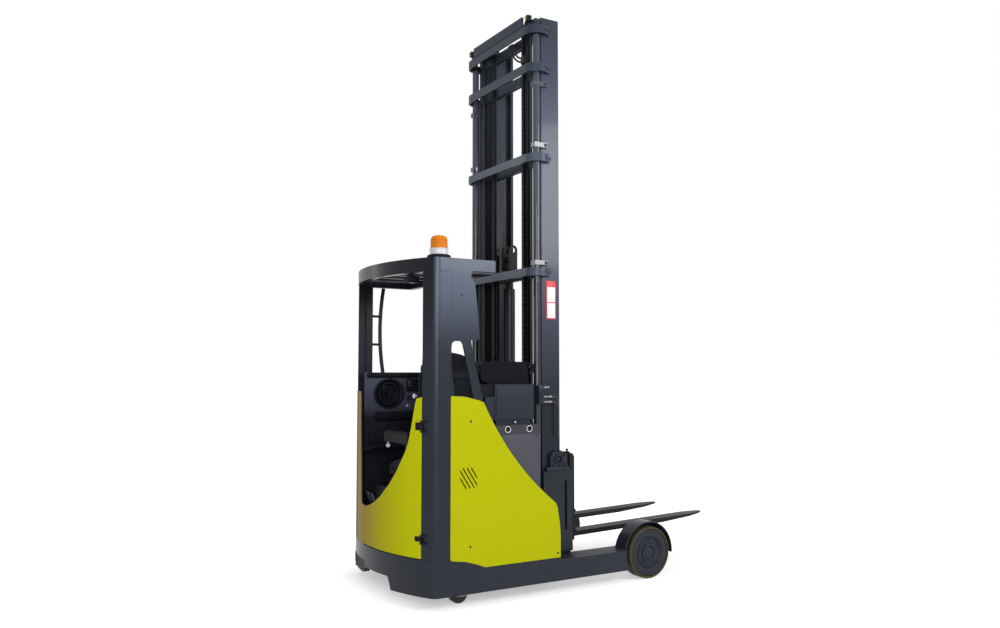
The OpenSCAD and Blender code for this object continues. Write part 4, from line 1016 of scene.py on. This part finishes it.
class TRUCK_OT_seat(bpy.types.Operator):
    """Filled seat cushion, back and headrest with sewn channels, piping and a moulded shell"""

    bl_idname = "truck.seat"
    bl_label = "Seat"

    channel_depth = 0.007
    channel_width = 0.007
    first_seam = 0.045 - MX
    welt_centre = (0.175 - MX, -0.118, 0.800)
    head_middle = 0.182 - MX

    def execute(self, context):
        cushion = self.pad("seat_cushion_pad", (-14, -322, 745), (364, 86, 838), 34,
                           flat_below=0.749)
        self.channels(cushion, 2, 0.80, 1, (-0.245, -0.150, -0.055), 0.305 - MX)
        self.give(cushion, 0.75, "seat_cushion")
        back = self.pad("seat_back_pad", (-12, -424, 764), (369, -354, 1430), 34)
        self.channels(back, 1, -0.375, 2, (0.93, 1.03, 1.13, 1.23, 1.33), 0.310 - MX)
        self.give(back, 0.75, "seat_back")
        head = self.pad("headrest_pad", (22, -432, 1462), (342, -364, 1570), 28)
        self.pinch(head)
        self.give(head, 0.8)
        self.piping(cushion)
        self.shell()
        self.posts()
        return {"FINISHED"}

    def pad(self, name, low, high, round_by, flat_below=None):
        """A soft block, remeshed and blown up by a cloth run whose travel is held."""
        pad = Bench.block(name, low, high, round_by, 4)
        Bench.settle(pad)
        pad.data.remesh_voxel_size = sized().voxel
        bpy.ops.object.voxel_remesh()
        rest = [v.co.copy() for v in pad.data.vertices]
        limit = sized().seat_swell
        cloth = pad.modifiers.new("fill", "CLOTH")
        cloth.settings.use_pressure = True
        cloth.settings.uniform_pressure_force = 4
        cloth.settings.effector_weights.gravity = 0
        cloth.settings.quality = 5
        scene = bpy.context.scene
        for number in range(1, 21):
            scene.frame_set(number)
        depsgraph = bpy.context.evaluated_depsgraph_get()
        blown = pad.evaluated_get(depsgraph).to_mesh()
        swollen = [v.co.copy() for v in blown.vertices]
        pad.evaluated_get(depsgraph).to_mesh_clear()
        pad.modifiers.remove(cloth)
        scene.frame_set(1)
        for vertex, start, end in zip(pad.data.vertices, rest, swollen):
            travel = end - start
            if travel.length > limit:
                travel = travel.normalized() * limit
            vertex.co = start + travel
            if flat_below is not None and vertex.co.z < flat_below:
                vertex.co.z = flat_below
        finer = pad.modifiers.new("finer", "SUBSURF")
        finer.levels = finer.render_levels = 1
        Bench.pick(pad)
        bpy.ops.object.modifier_apply(modifier=finer.name)
        return pad

    def channels(self, pad, normal, above, along, lines, last_seam):
        """Sinks two sewn seams into a pad's sitting side, and lines between them."""
        for vertex in pad.data.vertices:
            p = vertex.co
            if p[normal] < above:
                continue
            away = [p.x - self.first_seam, p.x - last_seam]
            if self.first_seam < p.x < last_seam:
                away += [p[along] - line for line in lines]
            dip = max(math.exp(-(gap / self.channel_width) ** 2) for gap in away)
            p[normal] -= dip * self.channel_depth

    def pinch(self, head):
        """Arches the headrest's top and sinks a seam along its middle."""
        for vertex in head.data.vertices:
            p = vertex.co
            if p.z > 1.49:
                p.z -= 0.5 * (p.z - 1.49) * ((p.x - self.head_middle) / 0.17) ** 2
            near = (p.y + 0.398) / 0.006
            dip = math.exp(-near ** 2) * 0.004
            if abs(p.x - self.head_middle) > 0.13:
                p.x -= math.copysign(dip, p.x - self.head_middle)
            if p.z > 1.53:
                p.z -= dip

    def give(self, pad, fill, *stands_for):
        Bench.hand_over(pad, "weave", smooth=60)
        if stands_for:
            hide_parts(*stands_for)

    def piping(self, pad):
        """A welt round the cushion, laid on the blown-up surface."""
        bm = bmesh.new()
        bm.from_mesh(pad.data)
        surface = BVHTree.FromBMesh(bm)
        bm.free()
        middle = Vector(self.welt_centre)
        welt = []
        for k in range(96):
            turn = 2 * math.pi * k / 96
            way = Vector((math.cos(turn), math.sin(turn), 0))
            spot = surface.ray_cast(middle + way, -way)[0]
            if spot is not None:
                welt.append(spot)
        rod = Bench.rod("seat_piping", welt, 0.0032, closed=True)
        Bench.hand_over(rod, "vinyl", smooth=60)

    def shell(self):
        """Moulded shell behind the back pad, with a raised field."""
        shell = Bench.block("seat_shell", (-26, -449, 790), (383, -432, 1438), 8, 3)
        Bench.step_face(shell, OUT[RIGHT], 0.035, 0.0)
        Bench.step_face(shell, OUT[RIGHT], 0.006, -0.004)
        Bench.step_face(shell, OUT[RIGHT], 0.060, 0.0)
        Bench.step_face(shell, OUT[RIGHT], 0.004, 0.003)
        Bench.hand_over(shell, "moulding", smooth=30)

    def posts(self):
        rods = []
        for x in (110, 250):
            rods.append(Bench.turned("post", [(0, 0), (8, 0), (8, 2), (6.5, 4), (6.5, 34),
                                              (8, 36), (8, 38), (0, 38)],
                                     (x, -395, 1434)))
        Bench.hand_over(Bench.join("headrest_posts", rods), "fork_steel", smooth=30)


class TRUCK_OT_armrest(bpy.types.Operator):
    """Padded top and small white knob of the armrest"""

    bl_idname = "truck.armrest"
    bl_label = "Armrest"

    def execute(self, context):
        pad = Bench.block("armrest_pad", (-82, -386, 1036), (-36, -44, 1059), 10, 4)
        Bench.hand_over(pad, "vinyl", smooth=50)
        for name, place, towards in (("armrest_knob", (-60, -50, 985), DOWN),
                                     ("backrest_knob", (-26, -404, 1290), BACK)):
            knob = Bench.turned(name, [(0, -6), (6, -6), (6, 14), (13, 18), (16, 26), (14, 36),
                                       (7, 41), (0, 42)], place, towards)
            if name == "backrest_knob":
                Bench.settle(knob)
                for vertex in knob.data.vertices:
                    vertex.co.x += (at(*place).x - vertex.co.x) * 0.45
            Bench.hand_over(knob, "white_plastic", smooth=50)
        return {"FINISHED"}


class TRUCK_OT_dash(bpy.types.Operator):
    """Mouldings of the dash: rims, cowl, palm rests, display and switches"""

    bl_idname = "truck.dash"
    bl_label = "Dash"

    def execute(self, context):
        rim = Bench.ring("dial_rim", (140, 405, 1284), 108, 9, OUT[RIGHT], 72)
        Bench.settle(rim)
        for vertex in rim.data.vertices:
            vertex.co.z = 1.284 + (vertex.co.z - 1.284) * 0.94
        Bench.hand_over(rim, "moulding", smooth=60)
        dish = Bench.turned("dial_dish", [(0, 0), (30, 0), (60, 3), (88, 12), (94, 24), (96, 28),
                                          (96, -2), (0, -2)], (140, 438, 1284), OUT[RIGHT], 56)
        Bench.hand_over(dish, "moulding", smooth=60)
        cowl = Bench.block("dash_cowl", (-30, 388, 1398), (428, 470, 1435), 17, 5)
        Bench.hand_over(cowl, "moulding", smooth=60)
        rest = Bench.block("palm_rest", (30, 366, 1092), (330, 414, 1156), 23, 6)
        Bench.hand_over(rest, "moulding", smooth=60)
        cheek = Bench.slab("dash_cheek", [(-22, 930), (420, 930), (420, 1070), (300, 1078),
                                          (120, 1060), (-22, 1000)], 396, -16, 7, 3)
        Bench.hand_over(cheek, "moulding", smooth=50)
        surround = Bench.block("display_frame", (276, 398, 1296), (404, 412, 1386), 5, 3)
        Bench.step_face(surround, OUT[RIGHT], 0.008, 0.0)
        Bench.step_face(surround, OUT[RIGHT], 0.002, -0.003)
        Bench.hand_over(surround, "moulding")
        glass = Bench.block("display_glass", (286, 399.5, 1306), (394, 403, 1376), 1.2, 2)
        Bench.hand_over(glass, "display")
        switches = []
        for x in (284, 316, 348, 380):
            key = Bench.block("switch", (x, 402, 1236), (x + 22, 411, 1266), 2.5, 2)
            switches.append(Bench.step_face(key, OUT[RIGHT], 0.003, -0.0015))
        Bench.hand_over(Bench.join("dash_switches", switches), "hood_paint", slot="dark_plastic")
        lock = Bench.turned("start_lock", [(0, 4), (8, 4), (8, 6), (12, 6), (15, 3), (15, -2),
                                           (0, -2)], (292, 410, 1190), OUT[RIGHT])
        Bench.hand_over(lock, "bright_steel")
        button = Bench.turned("stop_button", [(0, 20), (12, 19), (17, 15), (17, 10), (9, 8),
                                              (9, -2), (0, -2)], (372, 410, 1186), OUT[RIGHT])
        Bench.hand_over(button, "label_red", smooth=50, slot="dark_plastic")
        knob = Bench.turned("wheel_knob", [(0, -4), (9, -4), (8, 8), (13, 18), (15, 28), (11, 38),
                                           (0, 41)], (82, 389, 1326), OUT[RIGHT])
        Bench.hand_over(knob, "moulding", smooth=60)
        return {"FINISHED"}


class TRUCK_OT_levers(bpy.types.Operator):
    """Grips of the three mast levers, with gaiters"""

    bl_idname = "truck.levers"
    bl_label = "Levers"

    def execute(self, context):
        grips, gaiters = [], []
        for y in (60, 130, 200):
            grips.append(Bench.turned("grip", [(0, -36), (9, -36), (9, -20), (13, -8), (14, 4),
                                               (10, 11), (0, 13)], (419, y, 1160)))
            folds = [(0, 0)]
            for k in range(5):
                folds += [(26 - 4 * k, 5 * k), (22 - 4 * k, 5 * k + 2.5)]
            gaiters.append(Bench.turned("gaiter", folds + [(0, 24)], (419, y, 1080)))
        Bench.hand_over(Bench.join("lever_grips", grips), "moulding", smooth=60)
        Bench.hand_over(Bench.join("lever_gaiters", gaiters), "black_rubber", smooth=50)
        return {"FINISHED"}


class TRUCK_OT_floor(bpy.types.Operator):
    """Ribbed floor mat and pedal treads"""

    bl_idname = "truck.floor_mat"
    bl_label = "Floor mat"

    def execute(self, context):
        ribs = [Bench.block("floor_mat", (-62, 126, 412), (396, 440, 417), 2, 2),
                Bench.block("floor_mat", (-14, 430, 412), (396, 548, 416.5), 2, 2)]
        for k in range(11):
            x = -52 + 42 * k
            ribs.append(Bench.block("rib", (x, 146, 416), (x + 14, 530 if k else 424, 419),
                                    1.2, 1))
        Bench.hand_over(Bench.join("floor_mat", ribs), "matting")
        treads = []
        turn = math.radians(66)
        for y in (303, 367):
            tread = Bench.block("tread", (-92, y - 28, 519), (6, y + 28, 529), 4, 3)
            Bench.settle(tread)
            for vertex in tread.data.vertices:
                x, z = vertex.co.x - at(-4, 0, 0).x, vertex.co.z - 0.524
                vertex.co.x = at(-4, 0, 0).x + x * math.cos(turn) + z * math.sin(turn)
                vertex.co.z = 0.524 - x * math.sin(turn) + z * math.cos(turn)
            treads.append(tread)
        Bench.hand_over(Bench.join("pedal_treads", treads), "tread")
        return {"FINISHED"}


class TRUCK_OT_seals(bpy.types.Operator):
    """Rubber edge seals behind the painted panels"""

    bl_idname = "truck.seals"
    bl_label = "Panel seals"

    top_z = 1293
    sweep_top = (338, 1250)
    sweep_low = (882, 585)
    sweep_sag = 50
    door_cut = [
        (-529, 1286), (-492, 1276), (-484, 1251), (-473, 1200), (-458, 1124), (-438, 1035),
        (-413, 959), (-374, 893), (-324, 813), (-253, 730), (-160, 650), (-78, 601),
        (-10, 573), (58, 556), (100, 552),
    ]
    strip_edge = [
        (226, 1308), (217, 1106), (200, 900), (183, 696), (180, 600), (172, 570), (160, 557),
        (106, 555),
    ]

    def execute(self, context):
        for side, rear in ((RIGHT, 105), (LEFT, 82)):
            points = [at(x, side * (FLANK - 7), z) for x, z in self.flank_outline(rear)]
            seal = Bench.rod("flank_seal_" + TAG[side], points, sized().seal_radius, closed=True)
            Bench.hand_over(seal, "black_rubber", smooth=60)
        edge = self.finer(self.door_cut + [(100, 306), (-529, 306)], closed=True)
        points = [at(tail_x(y, 8), y, z) for y, z in edge]
        door = Bench.rod("door_seal", points, sized().seal_radius, closed=True)
        Bench.hand_over(door, "black_rubber", "service_door", 60)
        points = [at(tail_x(y, 8), y, z) for y, z in self.finer(self.strip_edge)]
        strip = Bench.rod("strip_seal", points, sized().seal_radius)
        Bench.hand_over(strip, "black_rubber", smooth=60)
        return {"FINISHED"}

    def finer(self, points, closed=False, step=30):
        """Adds points so that the path follows the curved tail."""
        path = []
        last = points[0] if closed else None
        for first, second in zip(points, points[1:] + ([last] if closed else [])):
            parts = max(1, int(math.dist(first, second) / step))
            for k in range(parts):
                path.append([a + (b - a) * k / parts for a, b in zip(first, second)])
        return path if closed else path + [list(points[-1])]

    def flank_outline(self, rear):
        """Outline of a flank panel: its hollow sweep and its stepped foot."""
        top, low = Vector(self.sweep_top), Vector(self.sweep_low)
        along = (low - top).normalized()
        half = (low - top).length / 2
        radius = (half * half + self.sweep_sag ** 2) / (2 * self.sweep_sag)
        out = Vector((-along.y, along.x))
        centre = (top + low) / 2 + (radius - self.sweep_sag) * out
        first = math.atan2(top.y - centre.y, top.x - centre.x)
        last = math.atan2(low.y - centre.y, low.x - centre.x)
        if last < first:
            last += 2 * math.pi
        sweep = [(centre.x + radius * math.cos(first + (last - first) * k / 24),
                  centre.y + radius * math.sin(first + (last - first) * k / 24))
                 for k in range(25)]
        return ([(rear, self.top_z - 1), (201, self.top_z - 6), (300, self.top_z - 29)] + sweep
                + [(897, 551), (912, 460), (919, 378), (919, 230), (349, 230), (296, 251),
                   (214, 277), (111, 292), (rear, 300)])


class TRUCK_OT_panel_screws(bpy.types.Operator):
    """Dark socket screws of the flank panels and the guard plate"""

    bl_idname = "truck.panel_screws"
    bl_label = "Panel screws"

    def execute(self, context):
        spots = [((x, side * (FLANK - 4), z), OUT[side]) for side in SIDES
                 for x, z in ((246, 1133), (243, 364), (897, 260))]
        spots += [((178, -(FLANK - 4), z), OUT[RIGHT]) for z in (1712, 1920)]
        screws = Bench.copies(socket_screw(sized().screw_radius, 0.0032), spots)
        Bench.hand_over(Bench.join("panel_screws", screws),
                        "black_rubber", smooth=30, slot="black_steel")
        return {"FINISHED"}


class TRUCK_OT_hinge_caps(bpy.types.Operator):
    """Caps of the service door's hinges"""

    bl_idname = "truck.hinge_caps"
    bl_label = "Hinge caps"

    def execute(self, context):
        caps = []
        for z, towards in ((396, DOWN), (454, UP), (1070, DOWN), (1145, UP)):
            caps.append(Bench.turned("cap", [(0, 6), (3, 5.5), (5, 4), (5.6, 0), (8, 0), (8, -2),
                                             (0, -2)], (-53.7, -543.9, z), towards, 24))
        Bench.hand_over(Bench.join("hinge_caps", caps), "zinc")
        return {"FINISHED"}


class TRUCK_OT_battery_trim(bpy.types.Operator):
    """Side plates, white lifting rings, a cable clip and screws of the battery"""

    bl_idname = "truck.battery_trim"
    bl_label = "Battery trim"

    def execute(self, context):
        for side, tag in TAG.items():
            face = side * 590
            plate = Bench.slab("battery_plate_" + tag, [(468, 252), (768, 252), (768, 1040),
                                                        (468, 1040)], face + side * 4, 5, 3, 3)
            Bench.hand_over(plate, "battery")
            rings = [Bench.ring("ring", (x, face + side * 0.5, 1072), 20, 2, OUT[side], 40)
                     for x in (536, 700)]
            Bench.hand_over(Bench.join("lifting_rings_" + tag, rings), "label_white", smooth=60)
            screws = Bench.copies(socket_screw(0.006, 0.004), [
                ((x, face + side * 4, z), OUT[side])
                for x in (484, 752) for z in (270, 646, 1022)])
            Bench.hand_over(Bench.join("battery_screws_" + tag, screws),
                            "black_rubber", smooth=30, slot="black_steel")
        clip = Bench.block("cable_clip", (601, -570, 1110), (612, -560, 1122), 3, 2)
        Bench.hand_over(clip, "white_plastic")
        return {"FINISHED"}


class TRUCK_OT_hood_trim(bpy.types.Operator):
    """Cover plates, screws and seam strips on the hood over the battery"""

    bl_idname = "truck.hood_trim"
    bl_label = "Hood trim"

    def execute(self, context):
        for side, tag in TAG.items():
            plate = Bench.slab("hood_plate_" + tag, [(458, 1142), (735, 1142), (735, 1352),
                                                     (458, 1352)], side * 579, 5, 3, 3)
            Bench.hand_over(plate, "hood_paint")
            screws = Bench.copies(socket_screw(0.0065, 0.003), [
                ((x, side * 579, 1262), OUT[side]) for x in (520, 660)])
            Bench.hand_over(Bench.join("hood_screws_" + tag, screws),
                            "black_rubber", smooth=30, slot="black_steel")
        strip = Bench.block("hood_strip", (452, -498, 1360), (748, 400, 1367), 2.5, 2)
        Bench.hand_over(strip, "black_rubber")
        seams = [Bench.block("seam", (x, -502, 1392), (x + 6, 405, 1511), 2, 2)
                 for x in (520, 640)]
        for seam in seams:
            Bench.settle(seam)
            for vertex in seam.data.vertices:
                vertex.co.z = max(vertex.co.z, 1.500)
        Bench.hand_over(Bench.join("lid_seams", seams), "moulding")
        return {"FINISHED"}


class TRUCK_OT_rail_label(bpy.types.Operator):
    """Blank two-field plate on the outer rail"""

    bl_idname = "truck.rail_label"
    bl_label = "Rail label"

    def execute(self, context):
        plate = Bench.slab("rail_label", [(938, 1803), (1018, 1803), (1018, 2067), (938, 2067)],
                           -437.2, 1.6, 0.5, 2)
        Bench.hand_over(plate, "label_red", "mast_base")
        fields = [Bench.slab("field", [(946, low), (1010, low), (1010, high), (946, high)],
                             -437.8, 1.2, 0.3, 1) for low, high in ((1811, 1913), (1921, 2023))]
        Bench.hand_over(Bench.join("rail_label_fields", fields), "label_white", "mast_base")
        return {"FINISHED"}


class TRUCK_OT_mast_top(bpy.types.Operator):
    """Sheaves, cheeks and hose fittings at the top of the mast"""

    bl_idname = "truck.mast_top"
    bl_label = "Mast top"

    groove = [(0, -11), (27, -11), (28, -9), (28, -7), (22, -5), (22, 5), (28, 7), (28, 9),
              (27, 11), (0, 11)]

    def execute(self, context):
        for side, tag in TAG.items():
            y = side * 338
            sheave = Bench.turned("top_sheave_" + tag, self.groove, (866, y, 3896), OUT[side], 48)
            Bench.hand_over(sheave, "fork_steel", "middle_stage")
            cheeks = [Bench.slab("cheek", [(838, 3862), (894, 3862), (894, 3912), (880, 3927),
                                           (852, 3927), (838, 3912)], y + side * off, 6, 1.5, 2)
                      for off in (20, -14)]
            Bench.hand_over(Bench.join("sheave_cheeks_" + tag, cheeks),
                            "frame_paint", "middle_stage")
            pin = Bench.turned("sheave_pin_" + tag, [(0, -24), (8, -24), (8, 24), (13, 24),
                                                     (13, 28), (6, 30), (0, 30)],
                               (866, y, 3896), OUT[side])
            Bench.hand_over(pin, "zinc", "middle_stage")
            block = Bench.block("top_block_" + tag, (800, side * 404 - 16, 3884),
                                (836, side * 404 + 16, 3926), 3, 2)
            Bench.hand_over(block, "frame_paint", "middle_stage")
            nipple = Bench.turned("top_fitting_" + tag, [
                (0, 14), (4, 14), (4, 9), (7, 8), (7, 3), (10, 2), (10, -4), (0, -4)],
                (800, side * 404, 3906), BACK, 6)
            Bench.hand_over(nipple, "brass", "middle_stage", 30)
        return {"FINISHED"}


class TRUCK_OT_mast_bolts(bpy.types.Operator):
    """Bolts of the crossbars and the cylinder clamps, and the cylinders' end collars"""

    bl_idname = "truck.mast_bolts"
    bl_label = "Mast bolts"

    bars = [(1835, 1778), (1042, 986), (412, 350), (140, 80)]
    clamps = (1250, 2170, 2990, 3420)
    wrap = (885, 395, 92)

    def execute(self, context):
        spots = []
        for side in SIDES:
            for low, high in self.bars:
                z = 3930 - (low + high) / 2
                for turn in (math.radians(22), math.radians(46)):
                    x = self.wrap[0] + self.wrap[2] * math.sin(turn)
                    y = self.wrap[1] + self.wrap[2] * math.cos(turn)
                    spots.append(((x, side * y, z),
                                  (math.sin(turn), side * math.cos(turn), 0)))
            for z in self.clamps:
                spots.append(((926, side * 458, z + 17), OUT[side]))
        bolts = Bench.copies(hex_bolt(sized().bolt_radius, 0.008), spots)
        Bench.hand_over(Bench.join("mast_bolts", bolts), "mast_paint", "mast_base", 30)
        collars = []
        for side in SIDES:
            for z, shape in ((3786, [(25, 0), (29, 2), (29, 14), (27.5, 16), (27.5, 20), (29, 22),
                                     (29, 28), (26, 31), (20, 33), (18, 33), (18, 0)]),
                             (250, [(25, 0), (29, 2), (29, 18), (26, 20), (25, 20), (24, 0)])):
                collars.append(Bench.turned("collar", shape, (863, side * 432, z)))
        Bench.hand_over(Bench.join("cylinder_collars", collars), "fork_steel", "mast_base")
        return {"FINISHED"}


class TRUCK_OT_chains(bpy.types.Operator):
    """Link plates and pins along the lift chains"""

    bl_idname = "truck.chains"
    bl_label = "Chain links"

    pitch = 38.1
    low, high = 440, 3850

    def execute(self, context):
        for side, tag in TAG.items():
            link = Bench.slab("link", [(0, -14), (6, -14), (9, 0), (6, 14), (0, 14), (-3, 0)],
                              1, 2, 0, 0)
            Bench.settle(link)
            for vertex in link.data.vertices:
                vertex.co.x += MX
            count = int((self.high - self.low) / self.pitch)
            made = Bench.copies(link, [
                ((890, side * y, self.low + self.pitch * (number + 0.5)), None)
                for number in range(count) for y in (199, 213, 227)])
            chain = Bench.join("chain_links_" + tag, made, settle=False)
            Bench.hand_over(chain, "leaf_chain", "middle_stage", 30)
        return {"FINISHED"}


class TRUCK_OT_pipe_saddles(bpy.types.Operator):
    """Saddles that hold the pipes beside the cylinders"""

    bl_idname = "truck.pipe_saddles"
    bl_label = "Pipe saddles"

    def execute(self, context):
        saddles, spots = [], []
        for y, top in ((-366, 3850), (366, 3400)):
            for z in (352, 1464, 2127, 2920, 3550, 3822):
                if z > top:
                    continue
                saddles.append(Bench.block("saddle", (848, y - 15, z),
                                           (858, y + 15, z + 20), 3))
                spots.append(((848, y, z + 10), BACK))
        Bench.hand_over(Bench.join("pipe_saddles", saddles), "moulding", "middle_stage")
        bolts = Bench.copies(hex_bolt(0.005, 0.005), spots)
        Bench.hand_over(Bench.join("saddle_bolts", bolts), "zinc", "middle_stage", 30)
        return {"FINISHED"}


class TRUCK_OT_valve_fittings(bpy.types.Operator):
    """Bright hydraulic fittings beside the right cylinder"""

    bl_idname = "truck.valve_fittings"
    bl_label = "Valve fittings"

    union = [(0, 0), (7, 0), (7, 10), (10, 10), (10, 22), (6, 24), (6, 34), (9, 34), (9, 48),
             (11, 48), (11, 60), (8, 62), (8, 72), (0, 72)]

    def execute(self, context):
        block = Bench.block("valve_block", (842, -486, 1222), (884, -458, 1350), 4, 2)
        Bench.hand_over(block, "frame_paint", "mast_base")
        fittings = [Bench.turned("union", self.union, (884, -472, z), AHEAD, 24)
                    for z in (1238, 1272)]
        fittings.append(Bench.turned("union", self.union[:9] + [(0, 48)], (884, -472, 1336),
                                     AHEAD, 24))
        Bench.hand_over(Bench.join("valve_fittings", fittings), "zinc", "mast_base")
        hoses = []
        for z, drop in ((1238, 1000), (1272, 1030)):
            points = [at(x, y, h) for x, y, h in (
                (956, -472, z), (985, -472, z), (1006, -472, z - 14), (1010, -472, z - 50),
                (1010, -470, drop + 60), (1010, -468, drop))]
            hoses.append(Bench.rod("hose", points, 0.007, smooth=True))
        Bench.hand_over(Bench.join("valve_hoses", hoses), "black_rubber", "mast_base", 60)
        return {"FINISHED"}


class TRUCK_OT_reach_trim(bpy.types.Operator):
    """Boss rings, ledges and bolts of the reach carriage's brackets"""

    bl_idname = "truck.reach_trim"
    bl_label = "Reach bracket trim"

    def execute(self, context):
        spots, rims, ledges = [], [], []
        for side in SIDES:
            rims.append(Bench.turned("rim", [(22, 0), (36, 0), (36, 6), (32, 10), (24, 10),
                                             (22, 8), (22, 0)], (1018, side * 462, 846), OUT[side],
                                     48))
            ledges.append(Bench.block("ledge", (906, min(side * 462, side * 484), 772),
                                      (1092, max(side * 462, side * 484), 796), 4, 2))
            for x, z in ((966, 880), (1068, 878), (972, 812), (1064, 812)):
                spots.append(((x, side * 462, z), OUT[side]))
            for x in (1000, 1036):
                spots.append(((x, side * 450, 898), UP))
        Bench.hand_over(Bench.join("boss_rims", rims), "frame_paint", "mast_base")
        Bench.hand_over(Bench.join("bracket_ledges", ledges), "frame_paint", "mast_base")
        bolts = Bench.copies(hex_bolt(0.009, 0.007), spots)
        Bench.hand_over(Bench.join("bracket_bolts", bolts), "frame_paint", "mast_base", 30)
        return {"FINISHED"}


class TRUCK_OT_wheel_trim(bpy.types.Operator):
    """Caps, rings and bolts of the load wheels"""

    bl_idname = "truck.wheel_trim"
    bl_label = "Wheel trim"

    def execute(self, context):
        for side, tag in TAG.items():
            body = "load_wheel_" + tag
            cap = Bench.turned("hub_cap_" + tag, [
                (0, 0), (38, 0), (38, 3), (34, 7), (30, 8), (27, 6), (20, 6.5), (0, 8)],
                (1678, side * 612, 178), OUT[side], 56)
            Bench.hand_over(cap, "frame_paint", body)
            lip = Bench.ring("hub_ring_" + tag, (1678, side * 606.5, 178), 95, 3.2, OUT[side], 80)
            Bench.hand_over(lip, "frame_paint", body, 60)
            spots = [((1678 + 80 * math.cos(k * math.tau / 5 + 0.3), side * 607,
                       178 + 80 * math.sin(k * math.tau / 5 + 0.3)), OUT[side])
                     for k in range(5)]
            bolts = Bench.copies(hex_bolt(0.008, 0.006), spots)
            Bench.hand_over(Bench.join("wheel_bolts_" + tag, bolts), "frame_paint", body, 30)
        return {"FINISHED"}


class TRUCK_OT_fork_trim(bpy.types.Operator):
    """Latches of the forks and bolts of the fork plates"""

    bl_idname = "truck.fork_trim"
    bl_label = "Fork trim"

    def execute(self, context):
        latches = []
        for side in SIDES:
            latches.append(Bench.block("latch", (1212, side * 265 - 20, 862),
                                       (1240, side * 265 + 20, 874), 3, 2))
            latches.append(Bench.turned("pull", [(0, 0), (6, 0), (6, 10), (10, 12), (10, 20),
                                                 (0, 22)], (1226, side * 265, 872)))
        Bench.hand_over(Bench.join("fork_latches", latches), "fork_steel", "tilting_forks")
        bolts = Bench.copies(hex_bolt(0.010, 0.008), [
            ((1208.3, side * y, z), AHEAD) for side in SIDES for y in (60, 150)
            for z in (340, 820)])
        Bench.hand_over(Bench.join("fork_plate_bolts", bolts), "fork_steel", "tilting_forks", 30)
        return {"FINISHED"}


class TRUCK_OT_roof_lamp(bpy.types.Operator):
    """Small work lamp under the roof with its bracket"""

    bl_idname = "truck.roof_lamp"
    bl_label = "Roof lamp"

    def execute(self, context):
        body = Bench.block("roof_lamp", (-70, -372, 2010), (10, -288, 2052), 9, 3)
        Bench.step_face(body, DOWN, 0.007, 0.0)
        Bench.step_face(body, DOWN, 0.002, -0.005)
        Bench.hand_over(body, "moulding")
        pane = Bench.block("roof_lamp_pane", (-61, -363, 2012), (1, -297, 2016), 1, 2)
        Bench.hand_over(pane, "white_plastic")
        arm = Bench.block("roof_lamp_arm", (-46, -340, 2048), (-14, -320, 2068), 3, 2)
        Bench.hand_over(arm, "fork_steel")
        return {"FINISHED"}


class TRUCK_OT_beacon_trim(bpy.types.Operator):
    """Collar, band and ribs of the beacon"""

    bl_idname = "truck.beacon_trim"
    bl_label = "Beacon trim"

    def execute(self, context):
        collar = Bench.turned("beacon_collar", [(50, 0), (60, 0), (60.5, 4), (57, 9), (50, 9)],
                              (56, -550, 2203), UP, 64)
        Bench.hand_over(collar, "white_plastic")
        band = Bench.turned("beacon_band", [(56, 0), (74.5, 0), (74.5, 14), (70, 19), (60, 22),
                                            (56, 22)], (56, -550, 2150.5), UP, 64)
        Bench.hand_over(band, "moulding")
        ribs = [Bench.ring("rib", (56, -550, z), 53.4, 1.6, UP, 64) for z in (2228, 2246, 2264)]
        Bench.hand_over(Bench.join("beacon_ribs", ribs), "lens", smooth=60)
        return {"FINISHED"}


class TRUCK_OT_foot_ribs(bpy.types.Operator):
    """Moulded ribs on the rubber foot under the entry"""

    bl_idname = "truck.foot_ribs"
    bl_label = "Foot ribs"

    def execute(self, context):
        ribs = []
        for k in range(9):
            y = 110 + 40 * k
            x = tail_x(y, 2)
            ribs.append(Bench.block("rib", (x - 1, y, 124), (x + 10, y + 14, 190), 2, 2))
        Bench.hand_over(Bench.join("foot_ribs", ribs), "black_rubber")
        return {"FINISHED"}


STEPS = (
    TRUCK_OT_stage, TRUCK_OT_finishes, TRUCK_OT_seat, TRUCK_OT_armrest, TRUCK_OT_dash,
    TRUCK_OT_levers, TRUCK_OT_floor, TRUCK_OT_seals, TRUCK_OT_panel_screws,
    TRUCK_OT_hinge_caps, TRUCK_OT_battery_trim, TRUCK_OT_hood_trim, TRUCK_OT_rail_label,
    TRUCK_OT_mast_top, TRUCK_OT_mast_bolts, TRUCK_OT_chains, TRUCK_OT_pipe_saddles,
    TRUCK_OT_valve_fittings, TRUCK_OT_reach_trim, TRUCK_OT_wheel_trim, TRUCK_OT_fork_trim,
    TRUCK_OT_roof_lamp, TRUCK_OT_beacon_trim, TRUCK_OT_foot_ribs,
)
CLASSES = (TruckColours, TruckSizes, *STEPS)


class TRUCK_PT_sidebar(bpy.types.Panel):
    """Lists the steps that dress the truck"""

    bl_idname = "TRUCK_PT_sidebar"
    bl_label = "Reach Truck"
    bl_space_type = "VIEW_3D"
    bl_region_type = "UI"
    bl_category = "Reach Truck"

    def draw(self, context):
        for step in STEPS:
            self.layout.operator(step.bl_idname)
        for group in (context.scene.truck_colours, context.scene.truck_sizes):
            for key in group.__annotations__:
                self.layout.prop(group, key)


def register():
    for cls in (*CLASSES, TRUCK_PT_sidebar):
        bpy.utils.register_class(cls)
    bpy.types.Scene.truck_colours = bpy.props.PointerProperty(type=TruckColours)
    bpy.types.Scene.truck_sizes = bpy.props.PointerProperty(type=TruckSizes)


def unregister():
    del bpy.types.Scene.truck_sizes
    del bpy.types.Scene.truck_colours
    for cls in reversed((*CLASSES, TRUCK_PT_sidebar)):
        bpy.utils.unregister_class(cls)


def main():
    register()
    for step in STEPS:
        area, name = step.bl_idname.split(".")
        getattr(getattr(bpy.ops, area), name)()


if __name__ == "__main__":
    main()
